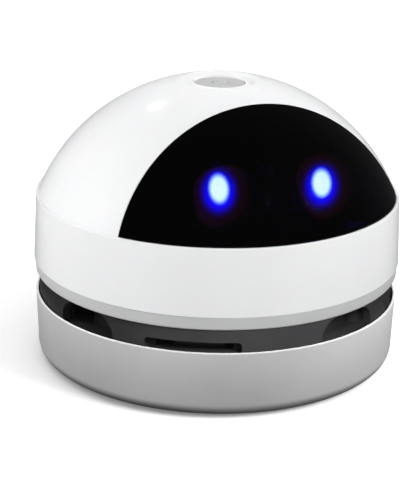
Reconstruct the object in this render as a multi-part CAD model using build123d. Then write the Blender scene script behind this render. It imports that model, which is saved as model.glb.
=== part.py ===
from build123d import *
import math
import os

# Desktop mini vacuum cleaner. Lengths are millimetres and angles are degrees.
# The desk is z = 0, the cleaner's axis is the Z axis and its face looks along -Y.
# An azimuth is counted from the face (-Y) towards +X.

# ---- Heights of the outside, from the desk up ----
pad_height = 0.5          # glide pads, below the bowl
bowl_height = 16.0        # dust bowl, underside to rim
gap_height = 5.5          # open exhaust gap between bowl rim and trim ring
ring_height = 3.0         # grey trim ring
band_height = 16.0        # white body band
dome_height = 27.0        # dome, from the band's ledge to the crown

# ---- Outline of the outside ----
body_radius = 44.0        # trim ring at its upper edge
ring_taper = 0.15         # how much the trim ring narrows downwards
ring_bevel = 0.3
band_overhang = 0.25      # band's foot stands proud of the ring
band_taper = 0.65         # how much the band narrows upwards
band_lip_round = 0.3
ledge_width = 0.6         # ledge of the band around the dome
rim_step = 0.1            # bowl rim, in from the ring
rim_round = 0.25
rim_lip = 0.6             # thin lip of the rim, round the drum's collar
rim_recess = 1.0          # depth of the recess inside that lip
bowl_taper = 0.55         # how much the bowl narrows downwards
bowl_corner = 3.3
dome_arc_radius = 46.0    # radius of the arc that the dome is turned from
crown_radius = 9.0        # flat crown around the button
crown_dish = 0.45         # depth of the crown's shallow dish

# ---- Walls and fits ----
dome_wall = 2.0
bowl_wall = 2.0           # at the rim
drum_wall = 2.2
drum_gap = 0.6            # bowl to drum, all round
spigot_wall = 0.5         # trim ring's spigot, between drum and band
fit = 0.05                # close fit of parts that stay put
slip = 0.15               # easy fit of parts that are slid together
turning_gap = 0.3         # least gap between parts that move apart
bearing_gap = 0.02        # running clearance in a bush
past = 1.0                # how far a cut reaches past what it cuts

# ---- Visor and dome details ----
visor_setback = 22.4      # axis to the visor's edge plane, at the ledge
visor_lean = 13.3         # the edge plane leans back by this angle
visor_seam = 0.08
lip_wall = 1.2            # lip behind the visor's edge
lip_reach = 1.5           # the lip's reach to each side of the edge plane
spigot_depth = 3.0        # dome's spigot, inside the band
tab_azimuths = (75, 158, 202, 285)
tab_width = 8.0
tab_depth = 5.0           # tab below the spigot
hook_reach = 0.5
hook_height = 1.2

# ---- Button and switch ----
button_radius = 5.95
button_drop = 0.3         # button's face below the dish
button_travel = 1.2
button_height = 3.75      # face to flange
button_wall = 1.05
button_roof = 1.85
button_round = 0.3
flange_reach = 1.25
flange_height = 0.7
guide_wall = 1.5
icon_radius = 2.1
icon_line = 0.4
icon_depth = 0.15
plunger_radius = 1.4
plunger_clearance = 0.1   # plunger's end to its bore's end, pressed
switch_size = 6.2
switch_height = 3.4
switch_floor = 0.3
spring_space = 2.7        # switch to button, at rest
spring_radius = 2.6
spring_wire = 0.35
spring_turns = 3
switch_board_radius = 13.0
switch_board_wall = 1.2
switch_post_circle = 10.5
switch_post_radius = 1.9
switch_post_azimuths = (60, 180, 300)
switch_screw_length = 5.0
switch_screw_spare = 0.5  # hole goes on past the screw's tip

# ---- Exhaust drum ----
drum_floor = 1.2
drum_eye_radius = 13.0
window_azimuths = (-72, 18, 108, 198)
window_width = 17.4
window_top_drop = 0.3     # top of the window below the trim ring
window_round = 5.2        # upper corners
window_rebate = 0.6       # the wall is thinner by this much round a window
window_margin = 2.0       # width of that thinner wall on each side
slot_azimuths = (-34.6, 55.4, 145.4, 235.4)
slot_width = 22.0
slot_top_drop = 3.3
slot_round = 1.0
window_sill = 0.4
post_azimuths = (-55.5, 34.5, 124.5, 214.5)
post_radius = 3.4
post_inset = 2.2          # post's middle, in from the drum's bore
baffle_gap = 0.5          # baffle's outside, in from the posts' middles
baffle_wall = 1.0
baffle_rise = 1.0         # baffle's top above the trim ring's foot
baffle_arcs = ((-23.2, 32.3), (13.0, 18.5))  # start and sweep from each post
deck_rise = 2.0           # deck above the trim ring
deck_thickness = 2.4

# ---- Bayonet between drum and bowl ----
lug_azimuths = (30, 150, 270)
lug_arc = 8.0
lug_drop = 3.5            # lug's foot below the rim
lug_height = 1.6
lug_reach = 1.45
lug_gap = 0.35
twist_angle = 18.0

# ---- Impeller ----
impeller_gap = 2.9        # impeller to posts
blade_count = 9
blade_wall = 1.0
blade_gap = 1.0           # blades above the drum's floor
blade_root = 9.0
blade_sweep = 40.0        # how far a blade falls back from root to tip
plate_drop = 5.4          # impeller plate's underside, below the deck
impeller_plate = 1.2
hub_radius = 4.5
hub_gap = 1.2             # hub's top below the deck

# ---- Motor ----
motor_radius = 12.2
motor_length = 19.0
motor_wall = 0.9
motor_cap = 2.0
motor_plug = 1.2          # end cap's plug inside the can
cap_hub_height = 1.2
nose_radius = 3.5
nose_length = 1.5
bush_radius = 2.5
bush_length = 3.0
shaft_radius = 1.0
shaft_tail = 0.4          # shaft's foot below the blades
shaft_head = 0.5          # shaft's top above the end cap
magnet_wall = 2.0
magnet_arc = 120.0
magnet_overhang = 0.5
armature_radius = 8.5
armature_length = 8.0
armature_lift = 4.4       # armature above the can's foot
armature_hub = 3.0
pole_width = 4.0
pole_head = 1.5
pole_arc = 90.0
winding_width = 6.4
winding_overhang = 1.0
commutator_radius = 2.2
commutator_length = 2.6
collar_wall = 1.7
collar_height = 4.0
terminal_spread = 8.0
terminal_width = 2.4
terminal_height = 2.6
terminal_wall = 0.5

# ---- Battery ----
cell_radius = 7.1
cell_clearance = 1.8      # cell's upper corners to the dome's wall
cell_gap = 1.7            # cell to motor
cell_rise = 15.6          # cell's axis above the deck
cell_round = 0.8
nub_radius = 2.6
nub_height = 0.6
cradle_wall = 1.4
cradle_gap = 0.8          # cradle's legs to the main board between them
cradle_leg = 1.7
cradle_foot = 5.0
cradle_plate = 1.6
leg_width = 8.0
leg_shift = 4.0           # legs' middles, in front of the cell's axis
strap_width = 8.0
strap_wall = 0.8
strip_wall = 0.3          # nickel strip on a cell's end
strip_half_width = 2.0

# ---- Main board and charging socket ----
board_wall = 1.6
board_width = 26.0
board_depth = 16.0
board_gap = 0.9           # board's tongue to the band's bore
board_round = 1.0
tongue_width = 10.0
tongue_length = 3.5
board_screw_inset = 3.0   # screws' middles, in from the board's edges
tongue_screw_inset = 3.0
controller_size = 5.0
controller_height = 1.1
coil_radius = 2.4
coil_height = 2.2
capacitor_radius = 1.7
capacitor_height = 2.6
standoff_height = 2.0
standoff_radius = 2.3
socket_width = 7.6
socket_height = 2.7
socket_depth = 5.4
socket_wall = 0.35
socket_tongue = 0.6
socket_recess = 0.5       # socket's mouth behind the band's surface
port_margin = 0.35
port_bevel = 1.3

# ---- Light unit behind the visor ----
lens_gap = 3.0            # lenses' outer front corners to the visor, along Y
led_board_wall = 1.2
led_board_width = 37.0
led_board_foot = 11.0     # lower edge above the deck
led_board_height = 15.0
led_board_cut = 5.0
bracket_wall = 1.6
bracket_width = 32.0
bracket_depth = 6.4
bracket_rib_gap = 1.0     # bracket's ribs, below the light board
bracket_drop = 2.4        # bracket's top below the board's
led_screw_drop = 5.5      # lower screw, below the lights
led_screw_lift = 3.0      # upper screw, above the lights
eye_spread = 13.1         # each eye from the middle
eye_rise = 19.3           # eyes above the deck
eye_width = 6.4
eye_height = 8.8
lens_depth = 1.6
lens_round = 0.8
led_size = 3.5
led_depth = 1.4
cup_foot_radius = 4.8
cup_mouth_radius = 8.4
cup_depth = 8.0
cup_wall = 0.8
cup_gap = 0.5             # cups to visor

# ---- Dust bowl ----
skirt_depth = 3.5         # bowl's underside to its floor
bowl_floor = 1.6
sole_radius = 33.6        # recess that holds the bottom plate
sole_ledge = 4.1          # ledge of the bowl's floor that the plate is screwed to
seat_height = 8.0         # filter's seat above the bowl's underside
seat_width = 1.0
inner_round = 1.2
pad_azimuths = (45, 135, 225, 315)
pad_width = 2.4
pad_arc = 16.0
pad_pocket = 0.5

# ---- Filter ----
filter_flange = 1.5
filter_flange_width = 4.8
filter_rise = 3.0         # filter's face above its flange
filter_wall = 1.2
filter_slope = 5.4        # run of the filter's sloped side
filter_rim = 2.4
filter_hub = 6.5
spoke_count = 6
spoke_width = 1.8
mesh_wall = 0.4
seal_height = 1.0
seal_width = 2.0
floor_rise = 1.0          # drum's floor above the filter

# ---- Bottom plate, suction mouth and brushes ----
sole_plate = 1.6
mouth_width = 36.0
mouth_depth = 11.0
mouth_round = 4.0
chimney_wall = 1.2
chimney_taper = 6.0
chimney_height = 4.4
strip_length = 40.0
strip_width = 3.0
strip_height = 1.3
strip_groove = 0.9
strip_gap = 4.0           # strip's middle, out from the mouth's edge
bristle_pitch = 3.0
bristle_radius = 0.8
bristle_lift = 0.15       # bristle tips above the desk
plate_screw_azimuths = (0, 90, 180, 270)
plate_screw_length = 4.6
plate_screw_spare = 0.6   # hole goes on past the screw's tip
plate_boss_radius = 2.1
plate_boss_height = 2.8

# ---- Fasteners ----
small_head = 1.9          # M2 pan head
small_head_height = 1.0
small_shank = 1.0
case_head = 2.1           # long case screw
case_head_height = 1.8
case_shank = 1.2
case_screw_grip = 6.0     # thread in the band's boss
case_screw_spare = 1.0    # hole goes on past the screw's tip
case_boss_radius = 3.2
case_boss_height = 8.6
case_head_seat = 3.8      # head's seat above the drum's floor

# ---- Hookup leads ----
lead_radius = 0.55
lead_spacing = 1.6

# ---- Levels and radii that follow from the sizes above ----
bowl_z = pad_height
rim_z = bowl_z + bowl_height
ring_z = rim_z + gap_height
band_z = ring_z + ring_height
shoulder_z = band_z + band_height
crown_z = shoulder_z + dome_height

band_foot_radius = body_radius + band_overhang
band_lip_radius = band_foot_radius - band_taper
dome_base_radius = band_lip_radius - ledge_width
rim_radius = body_radius - rim_step
bowl_foot_radius = rim_radius - bowl_taper
bowl_bore = rim_radius - bowl_wall
rim_recess_radius = rim_radius - rim_lip
collar_radius = rim_recess_radius - turning_gap
drum_radius = bowl_bore - drum_gap
drum_bore = drum_radius - drum_wall
ring_bore = drum_radius + fit
band_bore = ring_bore + spigot_wall + fit
post_circle = drum_bore - post_inset
baffle_radius = post_circle - baffle_gap

floor_under_z = bowl_z + skirt_depth
floor_z = floor_under_z + bowl_floor
sole_z = floor_under_z - sole_plate
seat_z = bowl_z + seat_height
flange_z = seat_z + filter_flange
filter_z = flange_z + filter_rise
mesh_z = filter_z - filter_wall - mesh_wall
seal_z = flange_z + seal_height
drum_foot_z = seal_z + turning_gap
drum_floor_z = filter_z + floor_rise + drum_floor
deck_z = band_z + deck_rise
deck_top_z = deck_z + deck_thickness

impeller_radius = post_circle - post_radius - impeller_gap
impeller_z = deck_z - plate_drop
blade_z = drum_floor_z + blade_gap
hub_z = deck_z - hub_gap

nose_z = deck_top_z - nose_length
motor_top_z = deck_top_z + motor_length
motor_cap_z = motor_top_z + motor_cap
cap_hub_z = motor_cap_z + cap_hub_height
armature_z = deck_top_z + armature_lift
armature_top_z = armature_z + armature_length

button_face_z = crown_z - crown_dish - button_drop
button_z = button_face_z - button_height
button_roof_z = button_face_z - button_roof
guide_bore = button_radius + turning_gap
guide_z = button_z + flange_height + turning_gap
switch_top_z = button_roof_z - spring_space
switch_z = switch_top_z - switch_height
switch_board_z = switch_z - switch_board_wall
plunger_z = switch_z + switch_floor + plunger_clearance + button_travel

cell_back = motor_radius + cell_gap + cell_radius
cradle_length = board_width + 2 * (cradle_gap + cradle_leg)
cell_z = deck_top_z + cell_rise
board_z = deck_top_z + standoff_height
board_top_z = board_z + board_wall
tongue_back = band_bore - board_gap
board_back = tongue_back - tongue_length
board_front = board_back - board_depth
eye_z = deck_top_z + eye_rise
strip_y = mouth_depth / 2 + strip_gap
floor_hole_radius = sole_radius - sole_ledge

STAND = (Align.CENTER, Align.CENTER, Align.MIN)


# ---- Small helpers ----
def disc(radius, low, high):
    """Upright cylinder on the axis."""
    return Pos(0, 0, low) * Cylinder(radius, high - low, align=STAND)


def ring(outer, inner, low, high):
    """Upright tube on the axis."""
    return disc(outer, low, high) - disc(inner, low, high)


def peg(x, y, low, high, radius):
    """Upright cylinder at a point."""
    return Pos(x, y, low) * Cylinder(radius, high - low, align=STAND)


def block(x_low, x_high, y_low, y_high, z_low, z_high):
    """Box between six planes."""
    middle = Pos((x_low + x_high) / 2, (y_low + y_high) / 2, z_low)
    return middle * Box(x_high - x_low, y_high - y_low, z_high - z_low, align=STAND)


def forward_plane(x, y, z):
    """Plane whose normal points forward, with X across and Z up."""
    return Plane(origin=(x, y, z), x_dir=(1, 0, 0), z_dir=(0, -1, 0))


def turned(points):
    """Solid of revolution about the axis from (radius, height) points."""
    return revolve(Plane.XZ * make_face(Polyline(*points, close=True)), Axis.Z)


def sector(outer, inner, low, high, start, sweep):
    """Part of a tube, from azimuth start over sweep degrees."""
    section = Pos((outer + inner) / 2, (low + high) / 2) * Rectangle(outer - inner, high - low)
    return Rot(0, 0, start - 90) * revolve(Plane.XZ * section, Axis.Z, sweep)


def around(azimuths, shape):
    """Copies of a shape that is built at the face, turned to each azimuth."""
    return [Rot(0, 0, azimuth) * shape for azimuth in azimuths]


def arc_degrees(width, radius):
    return math.degrees(width / radius)


def circles_at(shape, radius, height):
    """The circular edges of one radius at one height."""
    found = []
    for edge in shape.edges().filter_by(GeomType.CIRCLE):
        if abs(edge.radius - radius) < 0.01 and abs(edge.arc_center.Z - height) < 0.01:
            found.append(edge)
    return found


def screw(head, head_height, shank, length):
    """Pan-head screw: bearing face at the origin, shank downwards, cross recess on top."""
    body = Cylinder(head, head_height, align=STAND)
    body += Pos(0, 0, -length) * Cylinder(shank, length, align=STAND)
    body = fillet(circles_at(body, head, head_height), head_height * 0.4)
    arm = Pos(0, 0, head_height) * Box(head * 1.3, head * 0.3, head_height)
    return body - arm - Rot(0, 0, 90) * arm


def small_screw(length):
    return screw(small_head, small_head_height, small_shank, length)


def screw_hole(x, y, low, high, shank):
    """Upright hole that a screw's shank passes through."""
    return peg(x, y, low, high, shank + fit)


def group(solids):
    """Several separate solids in one node."""
    return Part() + list(solids)


# ---- Dome, visor and body band ----
def dome_arc_centre():
    """Centre (radius, height) of the arc from the ledge to the crown's edge."""
    run = dome_base_radius - crown_radius
    chord = math.hypot(run, dome_height)
    lift = math.sqrt(dome_arc_radius**2 - (chord / 2) ** 2)
    middle_radius = (dome_base_radius + crown_radius) / 2
    middle_z = shoulder_z + dome_height / 2
    return middle_radius - lift * dome_height / chord, middle_z - lift * run / chord


def dome_side_radius(inset, height):
    """Radius of the dome's surface, inset evenly, at one height."""
    centre_radius, centre_z = dome_arc_centre()
    return centre_radius + math.sqrt((dome_arc_radius - inset) ** 2 - (height - centre_z) ** 2)


def dome_inside_reach(across, height):
    """How far the dome's inside reaches, at right angles to a distance across, at one height."""
    return math.sqrt(dome_side_radius(dome_wall, height) ** 2 - across**2)


def dome_body(inset, foot_z):
    """Solid under the dome's surface, inset evenly, on a straight round foot."""
    centre_radius, centre_z = dome_arc_centre()
    top_z = crown_z - inset
    foot_radius = dome_side_radius(inset, shoulder_z)
    top_radius = dome_side_radius(inset, top_z)
    start = math.degrees(math.atan2(shoulder_z - centre_z, foot_radius - centre_radius))
    end = math.degrees(math.atan2(top_z - centre_z, top_radius - centre_radius))
    side = CenterArc((centre_radius, centre_z), dome_arc_radius - inset, start, end - start)
    rest = Polyline(side @ 1, (0, top_z), (0, foot_z), (foot_radius, foot_z), side @ 0)
    return revolve(Plane.XZ * make_face(side.edges() + rest.edges()), Axis.Z)


def face_side(shift):
    """Everything in front of the visor's edge plane, the plane moved forward by shift."""
    reach = 6 * body_radius
    half_space = Box(reach, reach, reach, align=(Align.CENTER, Align.MAX, Align.CENTER))
    return Pos(0, -visor_setback, shoulder_z) * Rot(-visor_lean, 0, 0) * Pos(0, -shift, 0) * half_space


spigot_z = shoulder_z - spigot_depth
spigot_radius = band_bore - slip
spigot_bore = dome_side_radius(dome_wall, shoulder_z)


def dome_skin():
    """The dome's wall and spigot, before the visor is parted from it."""
    outside = ring(dome_base_radius + dome_wall, spigot_radius, spigot_z, shoulder_z)
    return dome_body(0, spigot_z) - outside - dome_body(dome_wall, spigot_z - past)


def snap_tab():
    """Springy tab under the spigot, with a hook that clicks into the band."""
    arc = arc_degrees(tab_width, spigot_radius)
    tab_z = spigot_z - tab_depth
    tab = sector(spigot_radius, spigot_bore, tab_z, spigot_z, -arc / 2, arc)
    hook = sector(spigot_radius + hook_reach, spigot_bore, tab_z, tab_z + hook_height, -arc / 2, arc)
    return tab + hook


def make_dome_shell():
    lip_ring = dome_body(dome_wall, spigot_z) - dome_body(dome_wall + lip_wall, spigot_z - past)
    lip = lip_ring & (face_side(-lip_reach) - face_side(lip_reach))
    shell = (dome_skin() - face_side(0)) + lip
    post_top_z = crown_z - dome_wall * 0.75
    post = peg(0, -switch_post_circle, switch_z, post_top_z, switch_post_radius)
    shell += around(switch_post_azimuths, post)
    shell += around(tab_azimuths, snap_tab())
    shell += ring(guide_bore + guide_wall, guide_bore, guide_z, crown_z - dome_wall / 2)
    dish_z = crown_z - crown_dish
    shell -= turned([(0, dish_z), (guide_bore, dish_z), (crown_radius, crown_z), (0, crown_z)])
    shell -= disc(guide_bore, guide_z - past, crown_z + past)
    hole = screw_hole(0, -switch_post_circle, switch_z - past, switch_z + switch_screw_length, small_shank)
    return shell - around(switch_post_azimuths, hole)


def make_visor():
    return dome_skin() & face_side(visor_seam)


def band_boss():
    """Screw boss inside the band, joined to its wall by a rib."""
    rib_half = case_boss_radius / 2
    top_z = deck_top_z + case_boss_height
    boss = peg(0, -post_circle, deck_top_z, top_z, case_boss_radius)
    return boss + block(-rib_half, rib_half, -(band_bore + fit), -post_circle, deck_top_z, top_z)


def hook_pocket():
    """Recess in the band's bore that takes a hook of the dome."""
    arc = arc_degrees(tab_width, spigot_radius) + 2
    low = spigot_z - tab_depth - turning_gap
    high = low + hook_height + 2 * turning_gap
    return sector(spigot_radius + hook_reach + slip, band_bore - past, low, high, -arc / 2, arc)


port_z = board_top_z + socket_height / 2
port_radius = band_foot_radius - band_taper * (port_z - band_z) / band_height
socket_front = port_radius - socket_recess
socket_back = socket_front - socket_depth


def backward_plane(y, z):
    """Plane whose normal points backward, with X across and Z up."""
    return Plane(origin=(0, y, z), x_dir=(-1, 0, 0), z_dir=(0, 1, 0))


def charging_port():
    """Opening at the back of the band, bevelled for the charging plug."""
    width = socket_width + 2 * port_margin
    height = socket_height + 2 * port_margin
    wall = port_radius - band_bore
    opening = RectangleRounded(width, height, height * 0.35)
    hole = extrude(backward_plane(band_bore - past, port_z) * opening, wall + 3 * past)
    rim = RectangleRounded(width + 2 * port_bevel, height + 2 * port_bevel, height * 0.5)
    return hole + extrude(backward_plane(port_radius - wall * 0.4, port_z) * rim, wall + 2 * past)


def make_body_band():
    band = turned([
        (band_bore, band_z),
        (band_foot_radius, band_z),
        (band_lip_radius, shoulder_z),
        (band_bore, shoulder_z),
    ])
    band = fillet(circles_at(band, band_lip_radius, shoulder_z), band_lip_round)
    band += around(post_azimuths, band_boss())
    hole_top = deck_top_z + case_screw_grip + case_screw_spare
    hole = screw_hole(0, -post_circle, deck_top_z - past, hole_top, case_shank)
    band -= around(post_azimuths, hole)
    band -= around(tab_azimuths, hook_pocket())
    return band - charging_port()


def make_trim_ring():
    body = turned([
        (ring_bore, ring_z),
        (body_radius - ring_taper, ring_z),
        (body_radius, band_z),
        (ring_bore + spigot_wall, band_z),
        (ring_bore + spigot_wall, deck_z),
        (ring_bore, deck_z),
    ])
    return chamfer(circles_at(body, body_radius - ring_taper, ring_z), ring_bevel)


# ---- Exhaust drum ----
def wall_opening(width, low, high, corner):
    """Rounded opening cut through the front of the drum's wall and collar."""
    middle = forward_plane(0, -(drum_bore - past), (low + high) / 2)
    depth = collar_radius - drum_bore + 2 * past
    return extrude(middle * RectangleRounded(width, high - low, corner), depth)


def window_opening(low, high):
    """Opening with two large upper corners, and the thinner wall round it."""
    window = wall_opening(window_width, 2 * low - high, high, window_round)
    half = window_width / 2 + window_margin
    seat = drum_bore + window_rebate
    window += block(-half, half, -seat, -(drum_bore - past), low, high + window_margin)
    return window - disc(body_radius + past, 0, low)


def bayonet_groove():
    """Groove for one lug: up from the drum's foot, then round to the locked end."""
    gap_arc = arc_degrees(lug_gap, drum_radius)
    floor_radius = bowl_bore - lug_reach - lug_gap
    low = rim_z - lug_drop - lug_gap
    high = low + lug_height + 2 * lug_gap
    start = -lug_arc / 2 - gap_arc
    opening = lug_arc + 2 * gap_arc
    along = sector(drum_radius + past, floor_radius, low, high, start, opening + twist_angle)
    entry = sector(drum_radius + past, floor_radius, drum_foot_z - past, high, start + twist_angle, opening)
    return along + entry


def make_exhaust_drum():
    floor_under = drum_floor_z - drum_floor
    drum = ring(drum_radius, drum_bore, drum_foot_z, deck_z)
    drum += ring(drum_bore + drum_wall / 2, drum_eye_radius, floor_under, drum_floor_z)
    collar_z = rim_z - rim_recess + turning_gap
    drum += ring(collar_radius, drum_bore + drum_wall / 2, collar_z, ring_z)
    drum += around(post_azimuths, peg(0, -post_circle, floor_under, deck_z, post_radius))
    baffle_top = ring_z + baffle_rise
    for start, sweep in baffle_arcs:
        baffle = sector(baffle_radius, baffle_radius - baffle_wall, floor_under, baffle_top, start, sweep)
        drum += around(post_azimuths, baffle)
    sill = drum_floor_z + window_sill
    slot = wall_opening(slot_width, sill, ring_z - slot_top_drop, slot_round)
    drum -= around(window_azimuths, window_opening(sill, ring_z - window_top_drop))
    drum -= around(slot_azimuths, slot)
    head_seat = drum_floor_z + case_head_seat
    recess = peg(0, -post_circle, floor_under - past, head_seat, case_head + slip)
    drum -= around(post_azimuths, recess)
    drum -= around(post_azimuths, screw_hole(0, -post_circle, head_seat - past, deck_z + past, case_shank))
    return drum - around(lug_azimuths, bayonet_groove())


# ---- Places of the light unit and the cell, from the room under the dome ----
lens_reach = dome_inside_reach(eye_spread + eye_width / 2, eye_z + eye_height / 2)
led_board_setback = lens_reach - lens_gap - lens_depth - led_depth
led_back_y = -(led_board_setback - led_board_wall)
bracket_back_y = led_back_y + bracket_wall
cell_corner = cell_radius * math.sqrt(0.5)
cell_corner_reach = dome_side_radius(dome_wall, cell_z + cell_corner) - cell_clearance
cell_length = 2 * math.sqrt(cell_corner_reach**2 - (cell_back + cell_corner) ** 2)


# ---- Deck: the plate between the fan below and the electrics above ----
bracket_screws = [(side * bracket_width * 0.34, led_back_y - bracket_depth / 2) for side in (-1, 1)]
leg_y = cell_back - leg_shift
cradle_screws = [(side * (cradle_length + cradle_foot) / 2, leg_y) for side in (-1, 1)]
board_screws = [
    (-(board_width / 2 - board_screw_inset), board_front + board_screw_inset),
    (board_width / 2 - board_screw_inset, board_front + board_screw_inset),
    (0, board_back - tongue_screw_inset),
]
motor_screws = [(side * motor_radius * 0.62, 0) for side in (-1, 1)]


def make_motor_deck():
    collar_bore = motor_radius + fit
    deck = disc(band_bore - slip, deck_z, deck_top_z)
    deck += ring(collar_bore + collar_wall, collar_bore, deck_top_z, deck_top_z + collar_height)
    for x, y in board_screws:
        deck += peg(x, y, deck_top_z, board_z, standoff_radius)
    deck -= disc(nose_radius + fit, deck_z - past, deck_top_z + past)
    deck -= around(post_azimuths, screw_hole(0, -post_circle, deck_z - past, deck_top_z + past, case_shank))
    for x, y in bracket_screws + cradle_screws + motor_screws + board_screws:
        deck -= screw_hole(x, y, deck_z - past, board_z + past, small_shank)
    return deck


# ---- Motor ----
def make_motor_can():
    inner_z = deck_top_z + motor_wall
    can = disc(motor_radius, deck_top_z, motor_top_z)
    can -= disc(motor_radius - motor_wall, inner_z, motor_top_z + past)
    can += disc(nose_radius, nose_z, inner_z)
    can -= disc(bush_radius + bearing_gap, nose_z - past, inner_z + past)
    for x, y in motor_screws:
        can -= screw_hole(x, y, deck_top_z - past, inner_z + past, small_shank)
    return can


def make_motor_end_cap():
    cap = disc(motor_radius, motor_top_z, motor_cap_z)
    cap = fillet(circles_at(cap, motor_radius, motor_cap_z), motor_cap * 0.3)
    cap += disc(motor_radius - motor_wall - fit, motor_top_z - motor_plug, motor_top_z)
    cap += disc(bush_radius + motor_wall, motor_cap_z, cap_hub_z)
    return cap - disc(bush_radius + bearing_gap, motor_top_z - motor_plug - past, cap_hub_z + past)


def make_motor_bushes():
    bore = shaft_radius + bearing_gap
    lower = ring(bush_radius, bore, nose_z, nose_z + bush_length)
    upper = ring(bush_radius, bore, cap_hub_z - bush_length, cap_hub_z)
    return group([lower, upper])


def make_motor_magnets():
    outer = motor_radius - motor_wall - bearing_gap
    low = armature_z - magnet_overhang
    high = armature_top_z + magnet_overhang
    starts = (90 - magnet_arc / 2, 270 - magnet_arc / 2)
    return group(sector(outer, outer - magnet_wall, low, high, start, magnet_arc) for start in starts)


def make_motor_terminals():
    half = terminal_width / 2
    top_z = motor_cap_z + terminal_height
    blade = block(terminal_spread - terminal_wall, terminal_spread, -half, half, motor_cap_z, top_z)
    return group([blade, Rot(0, 0, 180) * blade])


def make_motor_shaft():
    foot_z = blade_z - shaft_tail
    top_z = cap_hub_z + shaft_head
    shaft = disc(shaft_radius, foot_z, top_z)
    ends = circles_at(shaft, shaft_radius, foot_z) + circles_at(shaft, shaft_radius, top_z)
    return chamfer(ends, shaft_radius * 0.2)


def make_motor_armature():
    """Laminated core with three T-shaped poles."""
    neck_radius = armature_radius - pole_head
    core = disc(armature_hub, armature_z, armature_top_z)
    half = pole_width / 2
    neck = block(-half, half, -(neck_radius + pole_head / 2), 0, armature_z, armature_top_z)
    head = sector(armature_radius, neck_radius, armature_z, armature_top_z, -pole_arc / 2, pole_arc)
    core += around((0, 120, 240), neck + head)
    return core - disc(shaft_radius + bearing_gap, armature_z - past, armature_top_z + past)


def make_motor_windings():
    """One coil of wire around each pole's neck."""
    outer = armature_radius - pole_head - fit
    inner = armature_hub + fit
    low = armature_z - winding_overhang
    high = armature_top_z + winding_overhang
    coil = block(-winding_width / 2, winding_width / 2, -outer, 0, low, high)
    coil &= disc(outer, low, high)
    coil -= disc(inner + pole_head, low - past, high + past)
    neck_half = pole_width / 2 + fit
    coil -= block(-neck_half, neck_half, -armature_radius, 0, armature_z - fit, armature_top_z + fit)
    return group(around((0, 120, 240), coil))


def make_motor_commutator():
    top_z = armature_top_z + commutator_length
    return ring(commutator_radius, shaft_radius + bearing_gap, armature_top_z + fit, top_z)


# ---- Impeller ----
def impeller_blade():
    """One backward-curved blade."""
    tip_radius = impeller_radius - blade_wall / 2
    sweep = math.radians(blade_sweep)
    root = (blade_root, 0)
    tip = (tip_radius * math.cos(sweep), tip_radius * math.sin(sweep))
    middle_radius = (blade_root + tip_radius) / 2
    middle_angle = sweep * 0.36
    middle = (middle_radius * math.cos(middle_angle), middle_radius * math.sin(middle_angle))
    line = ThreePointArc(root, middle, tip)
    return extrude(Plane.XY.offset(blade_z) * trace(line, blade_wall), impeller_z - blade_z)


def make_impeller():
    wheel = disc(impeller_radius, impeller_z, impeller_z + impeller_plate)
    wheel += disc(hub_radius, blade_z, hub_z)
    wheel = fillet(circles_at(wheel, hub_radius, blade_z), hub_radius * 0.4)
    blade = impeller_blade()
    wheel += [Rot(0, 0, 360 * number / blade_count) * blade for number in range(blade_count)]
    return wheel - disc(shaft_radius + bearing_gap, blade_z - past, hub_z + past)


# ---- Button and switch ----
def make_power_button():
    cap = disc(button_radius, button_z, button_face_z)
    cap = fillet(circles_at(cap, button_radius, button_face_z), button_round)
    cap += disc(button_radius + flange_reach, button_z, button_z + flange_height)
    cap -= disc(button_radius - button_wall, button_z - past, button_roof_z)
    icon_z = button_face_z - icon_depth
    bar = block(-icon_line / 2, icon_line / 2, 0, icon_radius * 1.25, icon_z, button_face_z)
    break_half = icon_line * 1.6
    break_block = block(-break_half, break_half, 0, icon_radius * 2, icon_z, button_face_z)
    icon = ring(icon_radius, icon_radius - icon_line, icon_z, button_face_z) - break_block + bar
    return cap - icon


def make_switch_plunger():
    plunger = disc(plunger_radius, plunger_z, button_roof_z)
    return chamfer(circles_at(plunger, plunger_radius, plunger_z), plunger_radius * 0.15)


def make_button_spring():
    rise = spring_space - spring_wire
    line = Helix(rise / spring_turns, rise, spring_radius, center=(0, 0, switch_top_z + spring_wire / 2))
    section = Plane(origin=line @ 0, z_dir=line % 0) * Circle(spring_wire / 2)
    return sweep(section, path=line)


def make_switch_body():
    half = switch_size / 2
    body = block(-half, half, -half, half, switch_z, switch_top_z)
    body = fillet(body.edges().filter_by(Axis.Z), switch_size * 0.08)
    return body - disc(plunger_radius + bearing_gap, switch_z + switch_floor, switch_top_z + past)


def make_switch_board():
    board = disc(switch_board_radius, switch_board_z, switch_z)
    hole = screw_hole(0, -switch_post_circle, switch_board_z - past, switch_z + past, small_shank)
    return board - around(switch_post_azimuths, hole)


def make_switch_screws():
    length = switch_board_wall + switch_screw_length - switch_screw_spare
    driven_up = Pos(0, -switch_post_circle, switch_board_z) * Rot(180, 0, 0) * small_screw(length)
    return group(around(switch_post_azimuths, driven_up))


# ---- Battery ----
def lying_tube(outer, inner, length):
    """Tube along X about the cell's axis."""
    side = Plane(origin=(-length / 2, cell_back, cell_z), z_dir=(1, 0, 0))
    return extrude(side * (Circle(outer) - Circle(inner)), length)


def lying_rod(radius, x_low, x_high):
    """Rod along X on the cell's axis."""
    side = Plane(origin=(x_low, cell_back, cell_z), z_dir=(1, 0, 0))
    return extrude(side * Circle(radius), x_high - x_low)


def make_battery_cell():
    cell = lying_rod(cell_radius, -cell_length / 2, cell_length / 2)
    cell = fillet(cell.edges().filter_by(GeomType.CIRCLE), cell_round)
    return cell + lying_rod(nub_radius, cell_length / 2, cell_length / 2 + nub_height)


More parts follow.
